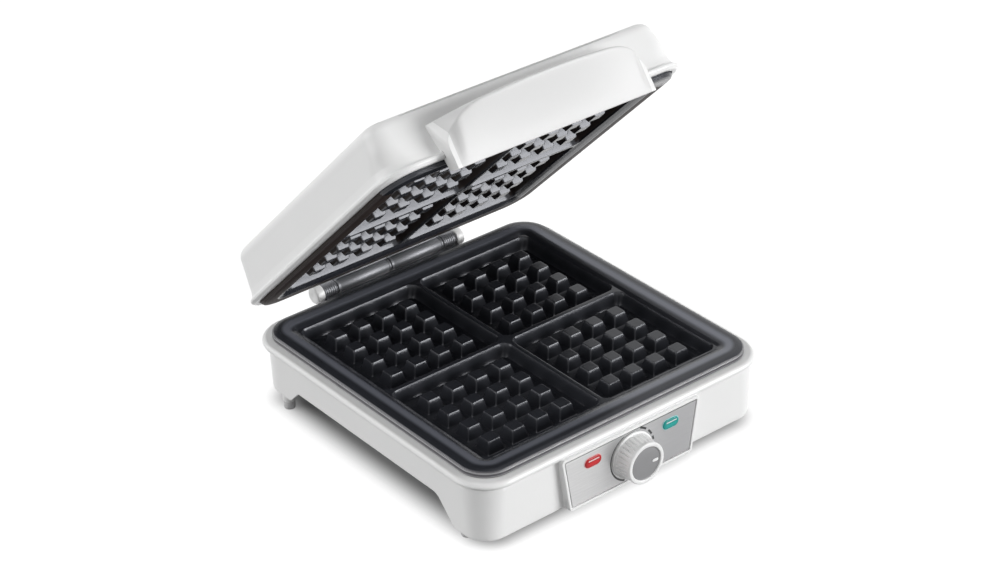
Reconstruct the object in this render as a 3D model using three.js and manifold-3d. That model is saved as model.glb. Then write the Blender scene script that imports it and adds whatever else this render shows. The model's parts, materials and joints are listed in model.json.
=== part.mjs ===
// A Belgian waffle maker for four waffles, with its lid half open. Millimetres, +Z up, front towards -Y.
// The origin is the centre of the bottom cover's underside; the feet reach below it.
import * as THREE from "three";
import { mergeVertices } from "three/addons/utils/BufferGeometryUtils.js";
import Module from "manifold-3d";

const wasm = await Module();
wasm.setup();

// Angles, counts and directions.
const openAngle = THREE.MathUtils.degToRad(44.65);
const quarter = Math.PI / 2;
const cornerSteps = 4;
const roundSides = 16;
const screwSides = 8;
const X = new THREE.Vector3(1, 0, 0);
const Y = new THREE.Vector3(0, 1, 0);
const Z = new THREE.Vector3(0, 0, 1);
const bothSides = [-1, 1];

// Fits.
const fit = 0.3; // between a piece and what holds it
const runningFit = 0.25; // between turning round pieces
const overrun = 2; // how far a cut runs past the face that it opens

// The two cast plates. Their insets are measured from the plate's outer side.
const plateWidth = 285;
const plateDepth = 289.4;
const plateCorner = 25;
const smallCorner = 4;
const plateEdge = 5.5; // height of the outer edge
const edgeStep = 1; // the edge's first part stands back by this
const edgeStepHeight = 1.5;
const edgeLip = 2.5;
const rimCrest = 0.4; // the rounded rim's crest above the edge
const rimWidth = 21.5;
const rimThickness = 3.6;
const deckDrop = 2.5; // the deck between the wells lies this far below the edge
const bodyInset = 17.5;
const floorThickness = 3.5;
const rimGap = 0.4; // between the two rims' crests when the lid is shut
const rimShares = [[1, 0], [0.95, 0.3], [0.86, 0.66], [0.72, 0.9], [0.5, 1], [0.28, 0.98], [0.12, 0.93]];

// The wells and their pegs.
const ribWidth = 4; // between two wells, at the deck
const wellWidth = 118.5;
const wellLength = 119.5;
const wellCorner = 8;
const wellDraft = 3;
const wellDepth = 14.5; // from the crest to the well's floor
const pegRows = 4;
const pegPitchX = 24;
const pegPitchY = 25;
const pegFoot = 17;
const pegTip = 11.5;
const pegHeight = 10.6;
const pegRoot = 1; // sunk into the floor

// The base's levels, from the cover's underside.
const plateLevel = 54; // top of the lower plate's outer edge
const wallDrop = 60.7; // from that edge to the foot of the casing's wall
const footDrop = 67.5; // and to the table

// The base casing. Outs are measured outwards from the plate's side.
const casingWall = 2.5;
const deckThickness = 3;
const deckInset = 11;
const beadOut = 8;
const beadHeight = 6.6;
const beadCorner = 31;
const wallOut = 4.2;
const wallCorner = 26;
const wallFootOut = 2.1;
const wallFootCorner = 21;
const beadShares = [[0.5, 0], [0.8, 0.08], [0.95, 0.3], [1, 0.55], [0.96, 0.8], [0.82, 0.96], [0.6, 1]];
const archTopDrop = 38;
const archTopHalf = 92;
const archFootHalf = 113;
const archCorner = 8;

// The bottom cover, its posts and its feet.
const coverThickness = 2.5;
const coverRim = 16; // the rim's underside above the cover's underside
const coverRimInset = 11.5;
const coverFloorInset = 22.5;
const coverPostInset = 7;
const coverPostEndInset = 49.7; // the screw posts' distance from the plate's front and rear sides
const coverPostRadius = 4.2;
const footPostInset = 6.5;
const footPostEndInset = 26.7;
const footPostRadius = 4.3;
const footRadius = 4.8;
const footHeight = 7.5;
const footBore = 3.5;
const footBoreDepth = 5.2;
const ventCount = 5;
const ventWidth = 3;
const ventLength = 44;
const ventPitch = 9;
const ventEndInset = 82.7;

// The screws: radii and lengths of their heads and shanks.
const coverScrew = { head: 3.4, headHeight: 2.1, shank: 1.5, length: 10 };
const plateScrew = { head: 3, headHeight: 1.8, shank: 1.4, length: 6.2 };
const shieldScrew = { head: 3.2, headHeight: 2, shank: 1.5, length: 6.5 };
const handleScrew = { head: 3.4, headHeight: 2.2, shank: 1.6, length: 10 };
const leafScrew = { head: 3, headHeight: 1.6, shank: 1.6, length: 6 };
const plateScrewInset = 7.5;
const plateScrewEndInset = 82.7;
const plateBoss = 3.2;

// The heaters and their trays.
const heaterRadius = 3.3;
const heaterSideInset = 62.5;
const heaterFrontInset = 64.7;
const heaterRearInset = 32.7;
const heaterBend = 30;
const heaterSides = 6;
const heaterSteps = 28;
const pinRadius = 1.4;
const pinLength = 12;
const trayThickness = 0.8;
const trayInset = 24.5;
const trayDepth = 8; // from the plate's underside to the tray's floor
const trayCorner = 8;
const trayBoss = 4;
const pinSlot = 8;

// The control panel in the front wall.
const bezelTopDrop = 11.3; // below the plate's edge
const bezelFootDrop = 61.6;
const bezelTopHalf = 71.6;
const bezelFootHalf = 63.6;
const bezelCorner = 3;
const bezelOut = 9.6;
const bezelBorder = 2.6;
const bezelWall = 2.5;
const bezelBackIn = 3.6; // how far its back lies inside the plate's side
const bezelFlange = 4;
const bezelFlangeThickness = 2;
const panelThickness = 0.8;
const panelSet = 0.3; // the panel's face below the border's
const lensSpread = 40.3;
const lensDrop = 24.1;
const lensLength = 16.6;
const lensHeight = 8.8;
const lensProud = 1;
const lensFlange = 1.2;
const lensFlangeThickness = 1;
const lampRadius = 3;
const lampLength = 10;

// The thermostat and the knob. Reaches are measured outwards from the panel's face.
const knobDrop = 36;
const bushRadius = 4.8;
const bushReach = 2.8;
const nutRadius = 7.6;
const nutThickness = 2.2;
const mountPlate = 1.2;
const mountPlateHalf = 17;
const mountPlateHeight = 11;
const thermostatRadius = 13;
const thermostatLength = 15;
const shaftRadius = 3;
const shaftReach = 13.4;
const shaftSink = 6; // into the thermostat
const knobGap = 0.5;
const knobReach = 17.4;
const knobFlange = 20.5;
const knobFlangeHeight = 1.8;
const knobFootRadius = 19.3;
const knobTopRadius = 17.2;
const knobRingRadius = 17.7;
const knobRingHeight = 2.4;
const knobRingWall = 3;
const knobDish = 1;
const knobFlutes = 30;
const fluteDepth = 0.8;
const knobCavity = 15.6;
const knobCavityTop = 13.8;
const knobFace = 3;
const hubRadius = 6;
const hubStart = 3.4;
const discRadius = 14.4;
const discThickness = 0.7;
const pointerInner = 6.6;
const pointerOuter = 12.6;
const pointerWidth = 2.3;
const pointerHeight = 0.4;
const pointerAngle = THREE.MathUtils.degToRad(-4);

// The hinge behind the plates.
const hingeBehind = 14.7; // its axis behind the plates' rear side
const hingeDrop = 2.6; // and below the lower plate's edge
const barrelRadius = 6.7;
const hingePin = 2.5;
const barrelHalf = 56; // half the span of the lid's two barrels
const knuckleLength = 13.6;
const knuckleGap = 0.5;
const capLength = 7.8;
const capRadius = 8.3;
const capWall = 1.6;
const leafThickness = 2.5;
const leafHeight = 18;
const leafDrop = 15; // from the hinge level to the leaf
const padOut = 4.5; // the flat pads behind the rear walls reach this far out
const padHalf = 79.5;
const padMargin = 2;
const leafScrewSpread = 34;

// The lid, measured in its closed place. Insets and outs as above.
const lidWall = 2.6;
const lipOut = 6.8;
const lipHeight = 4.8;
const lipHang = 2; // its foot hangs this far over the plate's edge
const lipInner = 0.6;
const lipCorner = 30;
const lipShares = [[0.5, 0], [0.82, 0.1], [0.97, 0.34], [1, 0.62], [0.9, 0.9], [0.62, 1]];
const lidWallOut = 3.2;
const lidWallCorner = 27;
const lidHeight = 51.3; // above the upper plate's edge
const shoulderInset = 0.8; // the side wall's top lies this far inside the plate's side
const shoulderRadius = 11;
const shoulderSteps = 4;
const crownRise = 1.1;
const crownInset = 60;

// The hollow in the lid's front wall, where the fingers go in behind the handle.
const scoopHalf = 93;
const scoopDepth = 11.5; // behind the plate's front side
const scoopFoot = 22; // above the lower plate's edge, lid shut
const scoopRound = 4;
const scoopPower = 6;
const scoopStations = 12;

// The handle on the lid's front. Heights are from the lower plate's edge, lid shut.
const handleHalf = 97;
const handleTop = 36;
const handleFoot = 8.5; // below that edge
const handleCornerLength = 42; // the front's upper corners bend in by this much
const handleCornerDrop = 25; // and down by this
const handleRimPower = 2.25; // how its upper rim bows in plan
const handleFootOut = 15.3;
const handleLean = 5;
const handleBulge = 19.5;
const handleWall = 3;
const handleStations = 14;
const handleFrontShares = [0, 0.16, 0.32, 0.55, 0.78, 0.92, 1];
const handleBulgePower = 1.2;
const handleRound = 2; // the rim's rounding
const skirtBackOut = 3.3;
const skirtBackFoot = 4.4;
const skirtHeelOut = 9.2;
const skirtHeelFoot = 7.5;
const handleBossRadius = 4.5;
const handleBossSpread = 62;
const handleBossLevel = 14.8;
const handleFloor = 2.5; // the floor of the trough behind the handle

// Electrical pieces.
const glandSideInset = 50.5;
const glandDrop = 33;
const glandRadius = 6;
const glandFlange = 9;
const glandFlangeThickness = 2.6;
const glandBore = 3.9;
const glandReach = 9;
const blockWidth = 34;
const blockDepth = 16;
const blockHeight = 13;
const blockSideInset = 68.5;
const blockBackInset = 40.7;
const blockGroove = 2;
const fuseRadius = 2.2;
const fuseLength = 26;
const fuseBackInset = 106.7;
const leadRadius = 1.2;
const leadSides = 5;
const leadSteps = 12;
const leadGap = 0.4;
const leadStraight = 5; // the last straight part before a heater's pin
const supplyShares = [[0.2, 0.26, 0.36], [0.09, -0.7, 0.36]];
const heaterLeadShares = [[-0.1, -0.7, 0.36], [-0.7, 0, 0.36], [-0.72, 0.74, 0.38], [-0.62, 0.93, 0.52]];
const returnShares = [[0.7, 0.84, 0.36], [0.62, 0.93, 0.5]];
const lidLeadShares = [[0.5, 0.93, -0.52], [0.3, 0.86, -0.6], [0.06, 0.84, -0.6]];

// Places that follow from the sizes above.
const halfW = plateWidth / 2;
const halfD = plateDepth / 2;
const coverPostBack = halfD - coverPostEndInset;
const footPostBack = halfD - footPostEndInset;
const plateScrewBack = halfD - plateScrewEndInset;
const ventBack = halfD - ventEndInset;
const heaterHalf = halfW - heaterSideInset;
const heaterFront = halfD - heaterFrontInset;
const heaterRear = halfD - heaterRearInset;
const fuseBack = halfD - fuseBackInset;
const blockSide = halfW - blockSideInset;
const blockBack = halfD - blockBackInset;
const glandSide = halfW - glandSideInset;
const plateBottom = wellDepth - rimCrest + floorThickness; // below the plate's edge
const edgeGap = 2 * rimCrest + rimGap; // between the two plates' edges, lid shut
const upperLevel = plateLevel + edgeGap;
const hingeY = halfD + hingeBehind;
const hingeZ = plateLevel - hingeDrop;
const wallFoot = plateLevel - wallDrop;
const tableZ = plateLevel - footDrop;
const deckTop = plateLevel - plateEdge - fit;
const panelY = -(halfD + bezelOut - panelSet);
const knobZ = plateLevel - knobDrop;
const bezelBack = -halfD + bezelBackIn;
const bezelWallFront = panelY + panelThickness;
const bezelWallBack = bezelWallFront + bezelWall;
const lidSeat = upperLevel + plateEdge + fit;
const lipFoot = lidSeat - lipHang;
const lipTop = lipFoot + lipHeight;
const lidTop = upperLevel + lidHeight;
const shoulderZ = lidTop - crownRise - shoulderRadius;
const boreRadius = hingePin + runningFit;

// Materials.
const paint = (color, roughness, metalness) => ({ color, roughness, metalness });
const whitePlastic = paint(0xf1f1f0, 0.3, 0);
const nonStick = paint(0x2a2b2e, 0.35, 0.4);
const blackMetal = paint(0x3a3b3f, 0.4, 0.8);
const brushedSteel = paint(0xb9b9ba, 0.35, 1);
const sheetSteel = paint(0x9c9ea1, 0.5, 0.9);
const zincSteel = paint(0xb4b6b8, 0.4, 1);
const paleRubber = paint(0xa9a9a9, 0.85, 0);
const palePlastic = paint(0xc4c4c4, 0.6, 0);
const bakelite = paint(0x3c3a38, 0.6, 0);
const redLens = paint(0xc02026, 0.1, 0);
const tealLens = paint(0x0a9a92, 0.1, 0);
const discGrey = paint(0x8e8f91, 0.4, 0.8);
const leadSleeve = paint(0xb0463c, 0.7, 0);

// A geometry as a closed indexed body, its faces turned outwards.
function closed(geometry) {
  const plain = geometry.index ? geometry.toNonIndexed() : geometry.clone();
  plain.deleteAttribute("normal");
  plain.deleteAttribute("uv");
  const merged = mergeVertices(plain);
  const place = merged.attributes.position;
  const faces = [];
  let volume = 0;
  for (let i = 0; i < merged.index.count; i += 3) {
    const [a, b, c] = [0, 1, 2].map((k) => merged.index.getX(i + k));
    if (a === b || b === c || c === a) continue;
    faces.push(a, b, c);
    const [p, q, r] = [a, b, c].map((k) => new THREE.Vector3().fromBufferAttribute(place, k));
    volume += p.dot(q.cross(r));
  }
  if (volume < 0) faces.reverse();
  merged.setIndex(faces);
  merged.computeVertexNormals();
  return merged;
}

function solid(geometry) {
  const body = closed(geometry);
  const vertProperties = body.attributes.position.array;
  return new wasm.Manifold(new wasm.Mesh({ numProp: 3, vertProperties, triVerts: new Uint32Array(body.index.array) }));
}

function geometryOf(manifold) {
  const mesh = manifold.getMesh();
  const geometry = new THREE.BufferGeometry();
  geometry.setAttribute("position", new THREE.BufferAttribute(mesh.vertProperties, 3));
  geometry.setIndex(new THREE.BufferAttribute(mesh.triVerts, 1));
  geometry.computeVertexNormals();
  return geometry;
}

// The first geometry joined to the others, and the first with the others cut away.
const join = (...pieces) => geometryOf(pieces.map(solid).reduce((sum, piece) => sum.add(piece)));
const cut = (body, ...tools) => geometryOf(tools.map(solid).reduce((left, tool) => left.subtract(tool), solid(body)));

const common = (first, second) => geometryOf(solid(first).intersect(solid(second)));

// A closed body through rings of points: capped at both ends, or joined last ring to first.
function loft(rings, endless = false) {
  const corners = [];
  const count = rings[0].length;
  const steps = endless ? rings.length : rings.length - 1;
  for (let r = 0; r < steps; r++) {
    const [low, high] = [rings[r], rings[(r + 1) % rings.length]];
    for (let i = 0; i < count; i++) {
      const j = (i + 1) % count;
      corners.push(low[i], low[j], high[j], low[i], high[j], high[i]);
    }
  }
  if (!endless) {
    corners.push(...capOf(rings[0]).reverse());
    corners.push(...capOf(rings[rings.length - 1]));
  }
  return closed(new THREE.BufferGeometry().setFromPoints(corners));
}

// The flat end of a loft, its triangles wound the way its ring runs.
function capOf(ring) {
  const normal = new THREE.Vector3();
  ring.forEach((point, i) => normal.add(point.clone().cross(ring[(i + 1) % ring.length])));
  const [across, up] = Math.abs(normal.z) > Math.abs(normal.x) ? ["x", "y"] : ["y", "z"];
  const flat = ring.map((point) => new THREE.Vector2(point[across], point[up]));
  const corners = [];
  for (const face of THREE.ShapeUtils.triangulateShape(flat, [])) {
    const [a, b, c] = face.map((k) => ring[k]);
    const facing = b.clone().sub(a).cross(c.clone().sub(a)).dot(normal);
    corners.push(...(facing > 0 ? [a, b, c] : [c, b, a]));
  }
  return corners;
}

// A rounded rectangle of points at one height, and one set off from the plates' outline.
function roundedRing(halfWidth, halfDepth, corner, z) {
  const ring = [];
  [[1, 1], [-1, 1], [-1, -1], [1, -1]].forEach(([sideX, sideY], k) => {
    for (let i = 0; i <= cornerSteps; i++) {
      const turn = (k + i / cornerSteps) * quarter;
      const x = sideX * (halfWidth - corner) + corner * Math.cos(turn);
      ring.push(new THREE.Vector3(x, sideY * (halfDepth - corner) + corner * Math.sin(turn), z));
    }
  });
  return ring;
}
const ringOut = (out, z, corner) => roundedRing(halfW + out, halfD + out, corner, z);
const plateRing = (inset, z) => ringOut(-inset, z, Math.max(plateCorner - inset, smallCorner));

// An outline of [across, up] points pushed along an axis, from low to high.
function prism(outline, axis, low, high) {
  const shape = new THREE.Shape(outline.map(([across, up]) => new THREE.Vector2(across, up)));
  const geometry = new THREE.ExtrudeGeometry(shape, { depth: high - low, bevelEnabled: false });
  const frames = { x: [Y, Z, X], y: [X, Z, Y.clone().negate()], z: [X, Y, Z] };
  geometry.applyMatrix4(new THREE.Matrix4().makeBasis(...frames[axis]));
  const start = { x: [low, 0, 0], y: [0, high, 0], z: [0, 0, low] }[axis];
  return geometry.translate(...start);
}

// A body through sections that run from side to side, closer together towards its ends.
function sideways(section, half, stations) {
  const sections = [];
  for (let i = 0; i <= stations; i++) {
    sections.push(section(half * Math.sin((i / stations - 1 / 2) * Math.PI)));
  }
  return loft(sections);
}

const rectangle = (left, right, low, high) => [[left, low], [right, low], [right, high], [left, high]];
const box = (x, y, z) => prism(rectangle(x[0], x[1], y[0], y[1]), "z", z[0], z[1]);

// The outline with each corner rounded.
function rounded(outline, radius, steps = 4) {
  const points = [];
  outline.forEach((corner, i) => {
    const at = new THREE.Vector2(...corner);
    const before = new THREE.Vector2(...outline[(i + outline.length - 1) % outline.length]).sub(at).normalize();
    const after = new THREE.Vector2(...outline[(i + 1) % outline.length]).sub(at).normalize();
    const reach = radius / Math.tan(Math.acos(before.dot(after)) / 2);
    const [start, end] = [before, after].map((way) => at.clone().addScaledVector(way, reach));
    new THREE.QuadraticBezierCurve(start, at, end).getPoints(steps).forEach((point) => points.push([point.x, point.y]));
  });
  return points;
}

// A long rounded outline, flat above and below.
function stadium(length, height, x, z) {
  const radius = height / 2;
  const points = [];
  for (const side of [1, -1]) {
    for (let i = 0; i <= cornerSteps; i++) {
      const turn = -side * quarter + (i / cornerSteps) * Math.PI;
      const across = side * (length / 2 - radius) + radius * Math.cos(turn);
      points.push([x + across, z + radius * Math.sin(turn)]);
    }
  }
  return points;
}

// A body turned about its axis from [radius, reach] points, and the same aimed along a direction from a place.
function turned(profile, sides = roundSides) {
  const points = profile.map(([radius, reach]) => new THREE.Vector2(radius, reach));
  return closed(new THREE.LatheGeometry(points, sides).rotateX(quarter));
}
function aimed(geometry, direction, x, y, z) {
  const turn = new THREE.Quaternion().setFromUnitVectors(Z, direction);
  return geometry.applyQuaternion(turn).translate(x, y, z);
}
const rodProfile = (radius, low, high) => [[0, low], [radius, low], [radius, high], [0, high]];
const rod = (radius, low, high, sides) => turned(rodProfile(radius, low, high), sides);
const down = Z.clone().negate();
const front = Y.clone().negate();

function screw({ head, headHeight, shank, length }) {
  const reach = headHeight + length;
  return turned([[0, 0], [head, 0], [head, headHeight], [shank, headHeight], [shank, reach], [0, reach]], screwSides);
}

// A tube of flat sides along a curve.
function tube(curve, radius, sides, steps) {
  const ring = new THREE.Shape();
  for (let i = 0; i < sides; i++) {
    const turn = (i / sides) * 2 * Math.PI;
    ring[i ? "lineTo" : "moveTo"](radius * Math.cos(turn), radius * Math.sin(turn));
  }
  return closed(new THREE.ExtrudeGeometry(ring, { extrudePath: curve, steps, bevelEnabled: false }));
}

const piece = (name, geometry, { color, roughness, metalness }) => {
  const mesh = new THREE.Mesh(geometry, new THREE.MeshStandardMaterial({ color, roughness, metalness }));
  mesh.name = name;
  return mesh;
};

// A cast plate, cooking side up, with the top of its outer edge at zero.
function wafflePlate() {
  const rimRise = deckDrop + rimCrest;
  const rim = rimShares.map(([inset, rise]) => plateRing(inset * rimWidth, rise * rimRise - deckDrop));
  const cast = loft([
    ...rim,
    plateRing(edgeStep, 0),
    plateRing(edgeStep, -edgeStepHeight),
    plateRing(0, -edgeStepHeight),
    plateRing(0, -plateEdge),
    plateRing(edgeLip, -plateEdge),
    plateRing(edgeLip, -rimThickness),
    plateRing(bodyInset - edgeLip, -rimThickness),
    plateRing(bodyInset, -plateBottom),
  ]);
  const floor = rimCrest - wellDepth;
  const wells = [];
  const pegs = [];
  for (const sideX of bothSides) {
    for (const sideY of bothSides) {
      const x = (sideX * (ribWidth + wellWidth)) / 2;
      const y = (sideY * (ribWidth + wellLength)) / 2;
      const ringAt = (draft, z) => roundedRing((wellWidth - draft) / 2, (wellLength - draft) / 2, wellCorner, z);
      wells.push(loft([ringAt(2 * wellDraft, floor), ringAt(0, -deckDrop), ringAt(0, overrun)]).translate(x, y, 0));
      for (let column = 0; column < pegRows; column++) {
        for (let row = 0; row < pegRows; row++) {
          const peg = new THREE.CylinderGeometry(pegTip / Math.SQRT2, pegFoot / Math.SQRT2, pegHeight + pegRoot, 4);
          peg.rotateX(quarter).rotateZ(quarter / 2);
          const middle = (pegRows - 1) / 2;
          const [across, along] = [(column - middle) * pegPitchX, (row - middle) * pegPitchY];
          pegs.push(peg.translate(x + across, y + along, floor + (pegHeight - pegRoot) / 2));
        }
      }
    }
  }
  const seat = -plateBottom - trayDepth;
  const bosses = [rod(trayBoss, seat, -plateBottom + pegRoot)];
  for (const sideX of bothSides) {
    for (const sideY of bothSides) {
      const x = sideX * (halfW - plateScrewInset);
      bosses.push(rod(plateBoss, -plateEdge, -rimThickness / 2).translate(x, sideY * plateScrewBack, 0));
    }
  }
  const bores = [rod(shieldScrew.shank + fit, seat - overrun, seat + shieldScrew.length + fit, screwSides)];
  for (const sideX of bothSides) {
    for (const sideY of bothSides) {
      const reach = plateScrew.length - deckThickness - fit;
      const bore = rod(plateScrew.shank + fit, -plateEdge - overrun, -plateEdge + reach, screwSides);
      bores.push(bore.translate(sideX * (halfW - plateScrewInset), sideY * plateScrewBack, 0));
    }
  }
  return cut(join(cut(cast, ...wells), ...pegs, ...bosses), ...bores);
}

// The screws that hold a plate to its casing, and the tray to its plate, in the plate's own frame.
const plateScrewSeat = -plateEdge - deckThickness - 2 * fit - plateScrew.headHeight;
const shieldScrewSeat = -plateBottom - trayDepth - trayThickness - 2 * fit - shieldScrew.headHeight;

// A U of tube heater under a plate, its connecting pins to the rear.
const heaterZ = -plateBottom - fit - heaterRadius;
function heatingElement() {
  const at = (x, y) => new THREE.Vector3(x, y, heaterZ);
  const inner = heaterHalf - heaterBend;
  const path = new THREE.CurvePath();
  path.add(new THREE.LineCurve3(at(-heaterHalf, heaterRear), at(-heaterHalf, heaterBend - heaterFront)));
  path.add(new THREE.QuadraticBezierCurve3(
    at(-heaterHalf, heaterBend - heaterFront), at(-heaterHalf, -heaterFront), at(-inner, -heaterFront)));
  path.add(new THREE.LineCurve3(at(-inner, -heaterFront), at(inner, -heaterFront)));
  path.add(new THREE.QuadraticBezierCurve3(
    at(inner, -heaterFront), at(heaterHalf, -heaterFront), at(heaterHalf, heaterBend - heaterFront)));
  path.add(new THREE.LineCurve3(at(heaterHalf, heaterBend - heaterFront), at(heaterHalf, heaterRear)));
  const pins = bothSides.map((side) =>
    aimed(rod(pinRadius, -pinRadius, pinLength, heaterSides), Y, side * heaterHalf, heaterRear, heaterZ));
  return join(tube(path, heaterRadius, heaterSides, heaterSteps), ...pins);
}

// The sheet tray under a heater, with slots for the heater's pins.
function heatShield() {
  const floor = -plateBottom - trayDepth - fit;
  const brim = -plateBottom - fit;
  const ringAt = (inset, z) => ringOut(-inset, z, trayCorner);
  const tray = loft([
    ringAt(trayInset, floor),
    ringAt(trayInset, brim),
    ringAt(trayInset - trayThickness, brim),
    ringAt(trayInset - trayThickness, floor - trayThickness),
  ]);
  const slots = bothSides.map((side) => {
    const x = side * heaterHalf;
    return box([x - pinSlot / 2, x + pinSlot / 2], [0, halfD], [floor + heaterRadius / 2, overrun]);
  });
  const hole = rod(shieldScrew.shank + fit, floor - trayThickness - overrun, floor + overrun, screwSides);
  return cut(tray, ...slots, hole);
}

const thermalFuse = () => {
  const z = -plateBottom - trayDepth - trayThickness - 2 * fit - fuseRadius;
  const body = aimed(rod(fuseRadius, 0, fuseLength, heaterSides), X, -fuseLength / 2, fuseBack, z);
  const wires = aimed(rod(pinRadius / 2, -pinLength / 2, fuseLength + pinLength / 2, leadSides), X, -fuseLength / 2, fuseBack, z);
  return join(body, wires);
};

// The base's outer shell.
function wallOutAt(drop) {
  const share = (drop - plateEdge - beadHeight) / (wallDrop - plateEdge - beadHeight);
  return THREE.MathUtils.lerp(wallOut, wallFootOut, share);
}
const bezelOutline = (grow) => {
  const [top, foot] = [plateLevel - bezelTopDrop + grow, plateLevel - bezelFootDrop - grow];
  const [topHalf, footHalf] = [bezelTopHalf + grow, bezelFootHalf + grow];
  return rounded([[-footHalf, foot], [footHalf, foot], [topHalf, top], [-topHalf, top]], bezelCorner);
};

function baseCasing() {
  const bead = beadShares.map(([out, drop]) => ringOut(out * beadOut, deckTop - drop * beadHeight, beadCorner));
  const shell = loft([
    ringOut(-deckInset, deckTop, plateCorner - deckInset),
    ...bead,
    ringOut(wallOut, deckTop - beadHeight, wallCorner),
    ringOut(wallFootOut, wallFoot, wallFootCorner),
    ringOut(wallFootOut - casingWall, wallFoot, wallFootCorner - casingWall),
    ringOut(wallOut - casingWall, deckTop - beadHeight, wallCorner - casingWall),
    ringOut(wallOut - casingWall, deckTop - deckThickness, wallCorner - casingWall),
    ringOut(-deckInset, deckTop - deckThickness, plateCorner - deckInset),
  ], true);
  const posts = [];
  const bores = [];
  for (const sideX of bothSides) {
    for (const sideY of bothSides) {
      const [x, y] = [sideX * (halfW - coverPostInset), sideY * coverPostBack];
      const seat = coverRim + coverThickness;
      posts.push(rod(coverPostRadius, seat, deckTop - deckThickness / 2).translate(x, y, 0));
      bores.push(rod(coverScrew.shank + fit, seat - overrun, seat + coverScrew.length, screwSides).translate(x, y, 0));
      const hole = rod(plateScrew.shank + fit, deckTop - deckThickness - overrun, deckTop + overrun, screwSides);
      bores.push(hole.translate(sideX * (halfW - plateScrewInset), sideY * plateScrewBack, 0));
    }
  }
  const padFoot = hingeZ - leafDrop - leafHeight - padMargin;
  const pad = box([-padHalf, padHalf], [halfD + wallFootOut - casingWall, halfD + padOut], [padFoot, deckTop - beadHeight]);
  const hingePocket = box([-padHalf, padHalf], [halfD + padOut, halfD + beadOut + overrun], [padFoot, deckTop + overrun]);
  const archTop = plateLevel - archTopDrop;
  const archFoot = wallFoot - (archTop - wallFoot);
  const footHalf = 2 * archFootHalf - archTopHalf;
  const archPoints = [[-footHalf, archFoot], [footHalf, archFoot], [archTopHalf, archTop], [-archTopHalf, archTop]];
  const arch = prism(rounded(archPoints, archCorner), "x", -halfW - beadOut, halfW + beadOut);
  const sideCut = cut(arch, box([bezelOut - halfW, halfW - bezelOut], [-halfD, halfD], [archFoot - overrun, plateLevel]));
  const notch = prism(bezelOutline(fit), "y", -halfD - bezelOut - overrun, -halfD + bezelBackIn);
  const glandZ = plateLevel - glandDrop;
  const glandHole = aimed(rod(glandRadius + fit, -casingWall, glandReach), Y, glandSide, halfD, glandZ);
  return cut(join(shell, pad, ...posts), ...bores, hingePocket, sideCut, notch, glandHole, ...leafBores(halfD + padOut, hingeZ - leafDrop - leafHeight / 2));
}

// Holes for the hinge leaves' screws, from a pad's face forwards.
function leafBores(face, z) {
  return bothSides.map((side) => {
    const bore = rod(leafScrew.shank + fit, -overrun, leafScrew.length - leafThickness + fit, screwSides);
    return aimed(bore, front, side * leafScrewSpread, face, z);
  });
}

// The dished cover under the base, with the posts that the feet are pushed on.
function bottomCover() {
  const [rimHalf, floorHalf] = [halfW - coverRimInset, halfW - coverFloorInset];
  const section = [
    [halfW + wallOut, coverRim],
    [rimHalf, coverRim],
    [floorHalf, 0],
    [-floorHalf, 0],
    [-rimHalf, coverRim],
    [-halfW - wallOut, coverRim],
    [-halfW - wallOut, coverRim + coverThickness],
    [coverThickness - rimHalf, coverRim + coverThickness],
    [coverThickness - floorHalf, coverThickness],
    [floorHalf - coverThickness, coverThickness],
    [rimHalf - coverThickness, coverRim + coverThickness],
    [halfW + wallOut, coverRim + coverThickness],
  ];
  const insideAt = (z) => {
    const share = (plateLevel - z - plateEdge - beadHeight) / (wallDrop - plateEdge - beadHeight);
    const corner = THREE.MathUtils.lerp(wallCorner, wallFootCorner, share) - casingWall - fit;
    return ringOut(wallOutAt(plateLevel - z) - casingWall - fit, z, corner);
  };
  const inside = loft([insideAt(-overrun), insideAt(coverRim + coverThickness + overrun)]);
  const sheet = common(prism(section, "y", -halfD - wallOut, halfD + wallOut), inside);
  const posts = [];
  const holes = [];
  const shoulder = tableZ + footHeight + fit;
  const tip = tableZ + footHeight - footBoreDepth + fit;
  const profile = [[0, tip], [footBore - fit, tip], [footBore - fit, shoulder], [footPostRadius, shoulder]];
  profile.push([footPostRadius, coverRim + coverThickness / 2], [0, coverRim + coverThickness / 2]);
  for (const sideX of bothSides) {
    for (const sideY of bothSides) {
      posts.push(turned(profile).translate(sideX * (halfW - footPostInset), sideY * footPostBack, 0));
      const hole = rod(coverScrew.shank + fit, coverRim - overrun, coverRim + coverThickness + overrun, screwSides);
      holes.push(hole.translate(sideX * (halfW - coverPostInset), sideY * coverPostBack, 0));
    }
  }
  const vents = [];
  for (const side of bothSides) {
    for (let i = 0; i < ventCount; i++) {
      const y = side * ventBack + (i - (ventCount - 1) / 2) * ventPitch;
      vents.push(box([-ventLength / 2, ventLength / 2], [y - ventWidth / 2, y + ventWidth / 2], [-overrun, coverThickness + overrun]));
    }
  }
  const panelNotch = prism(bezelOutline(bezelFlange + fit), "y", -halfD - beadOut, bezelBack + fit);
  return cut(join(sheet, ...posts), ...holes, ...vents, panelNotch);
}

function rubberFoot(sideX, sideY) {
  const floor = footHeight - footBoreDepth;
  const profile = [[0, 0], [footRadius, 0], [footRadius, footHeight], [footBore, footHeight], [footBore, floor], [0, floor]];
  return turned(profile).translate(sideX * (halfW - footPostInset), sideY * footPostBack, tableZ);
}

// The white frame of the control panel and the steel plate set in it.
const lensOutline = (side, grow) =>
  stadium(lensLength + 2 * grow, lensHeight + 2 * grow, side * lensSpread, plateLevel - lensDrop);
const panelHoles = (from, to) => [
  ...bothSides.map((side) => prism(lensOutline(side, fit), "y", from, to)),
  aimed(rod(bushRadius + fit, -to, -from), front, 0, 0, knobZ),
];

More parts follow.
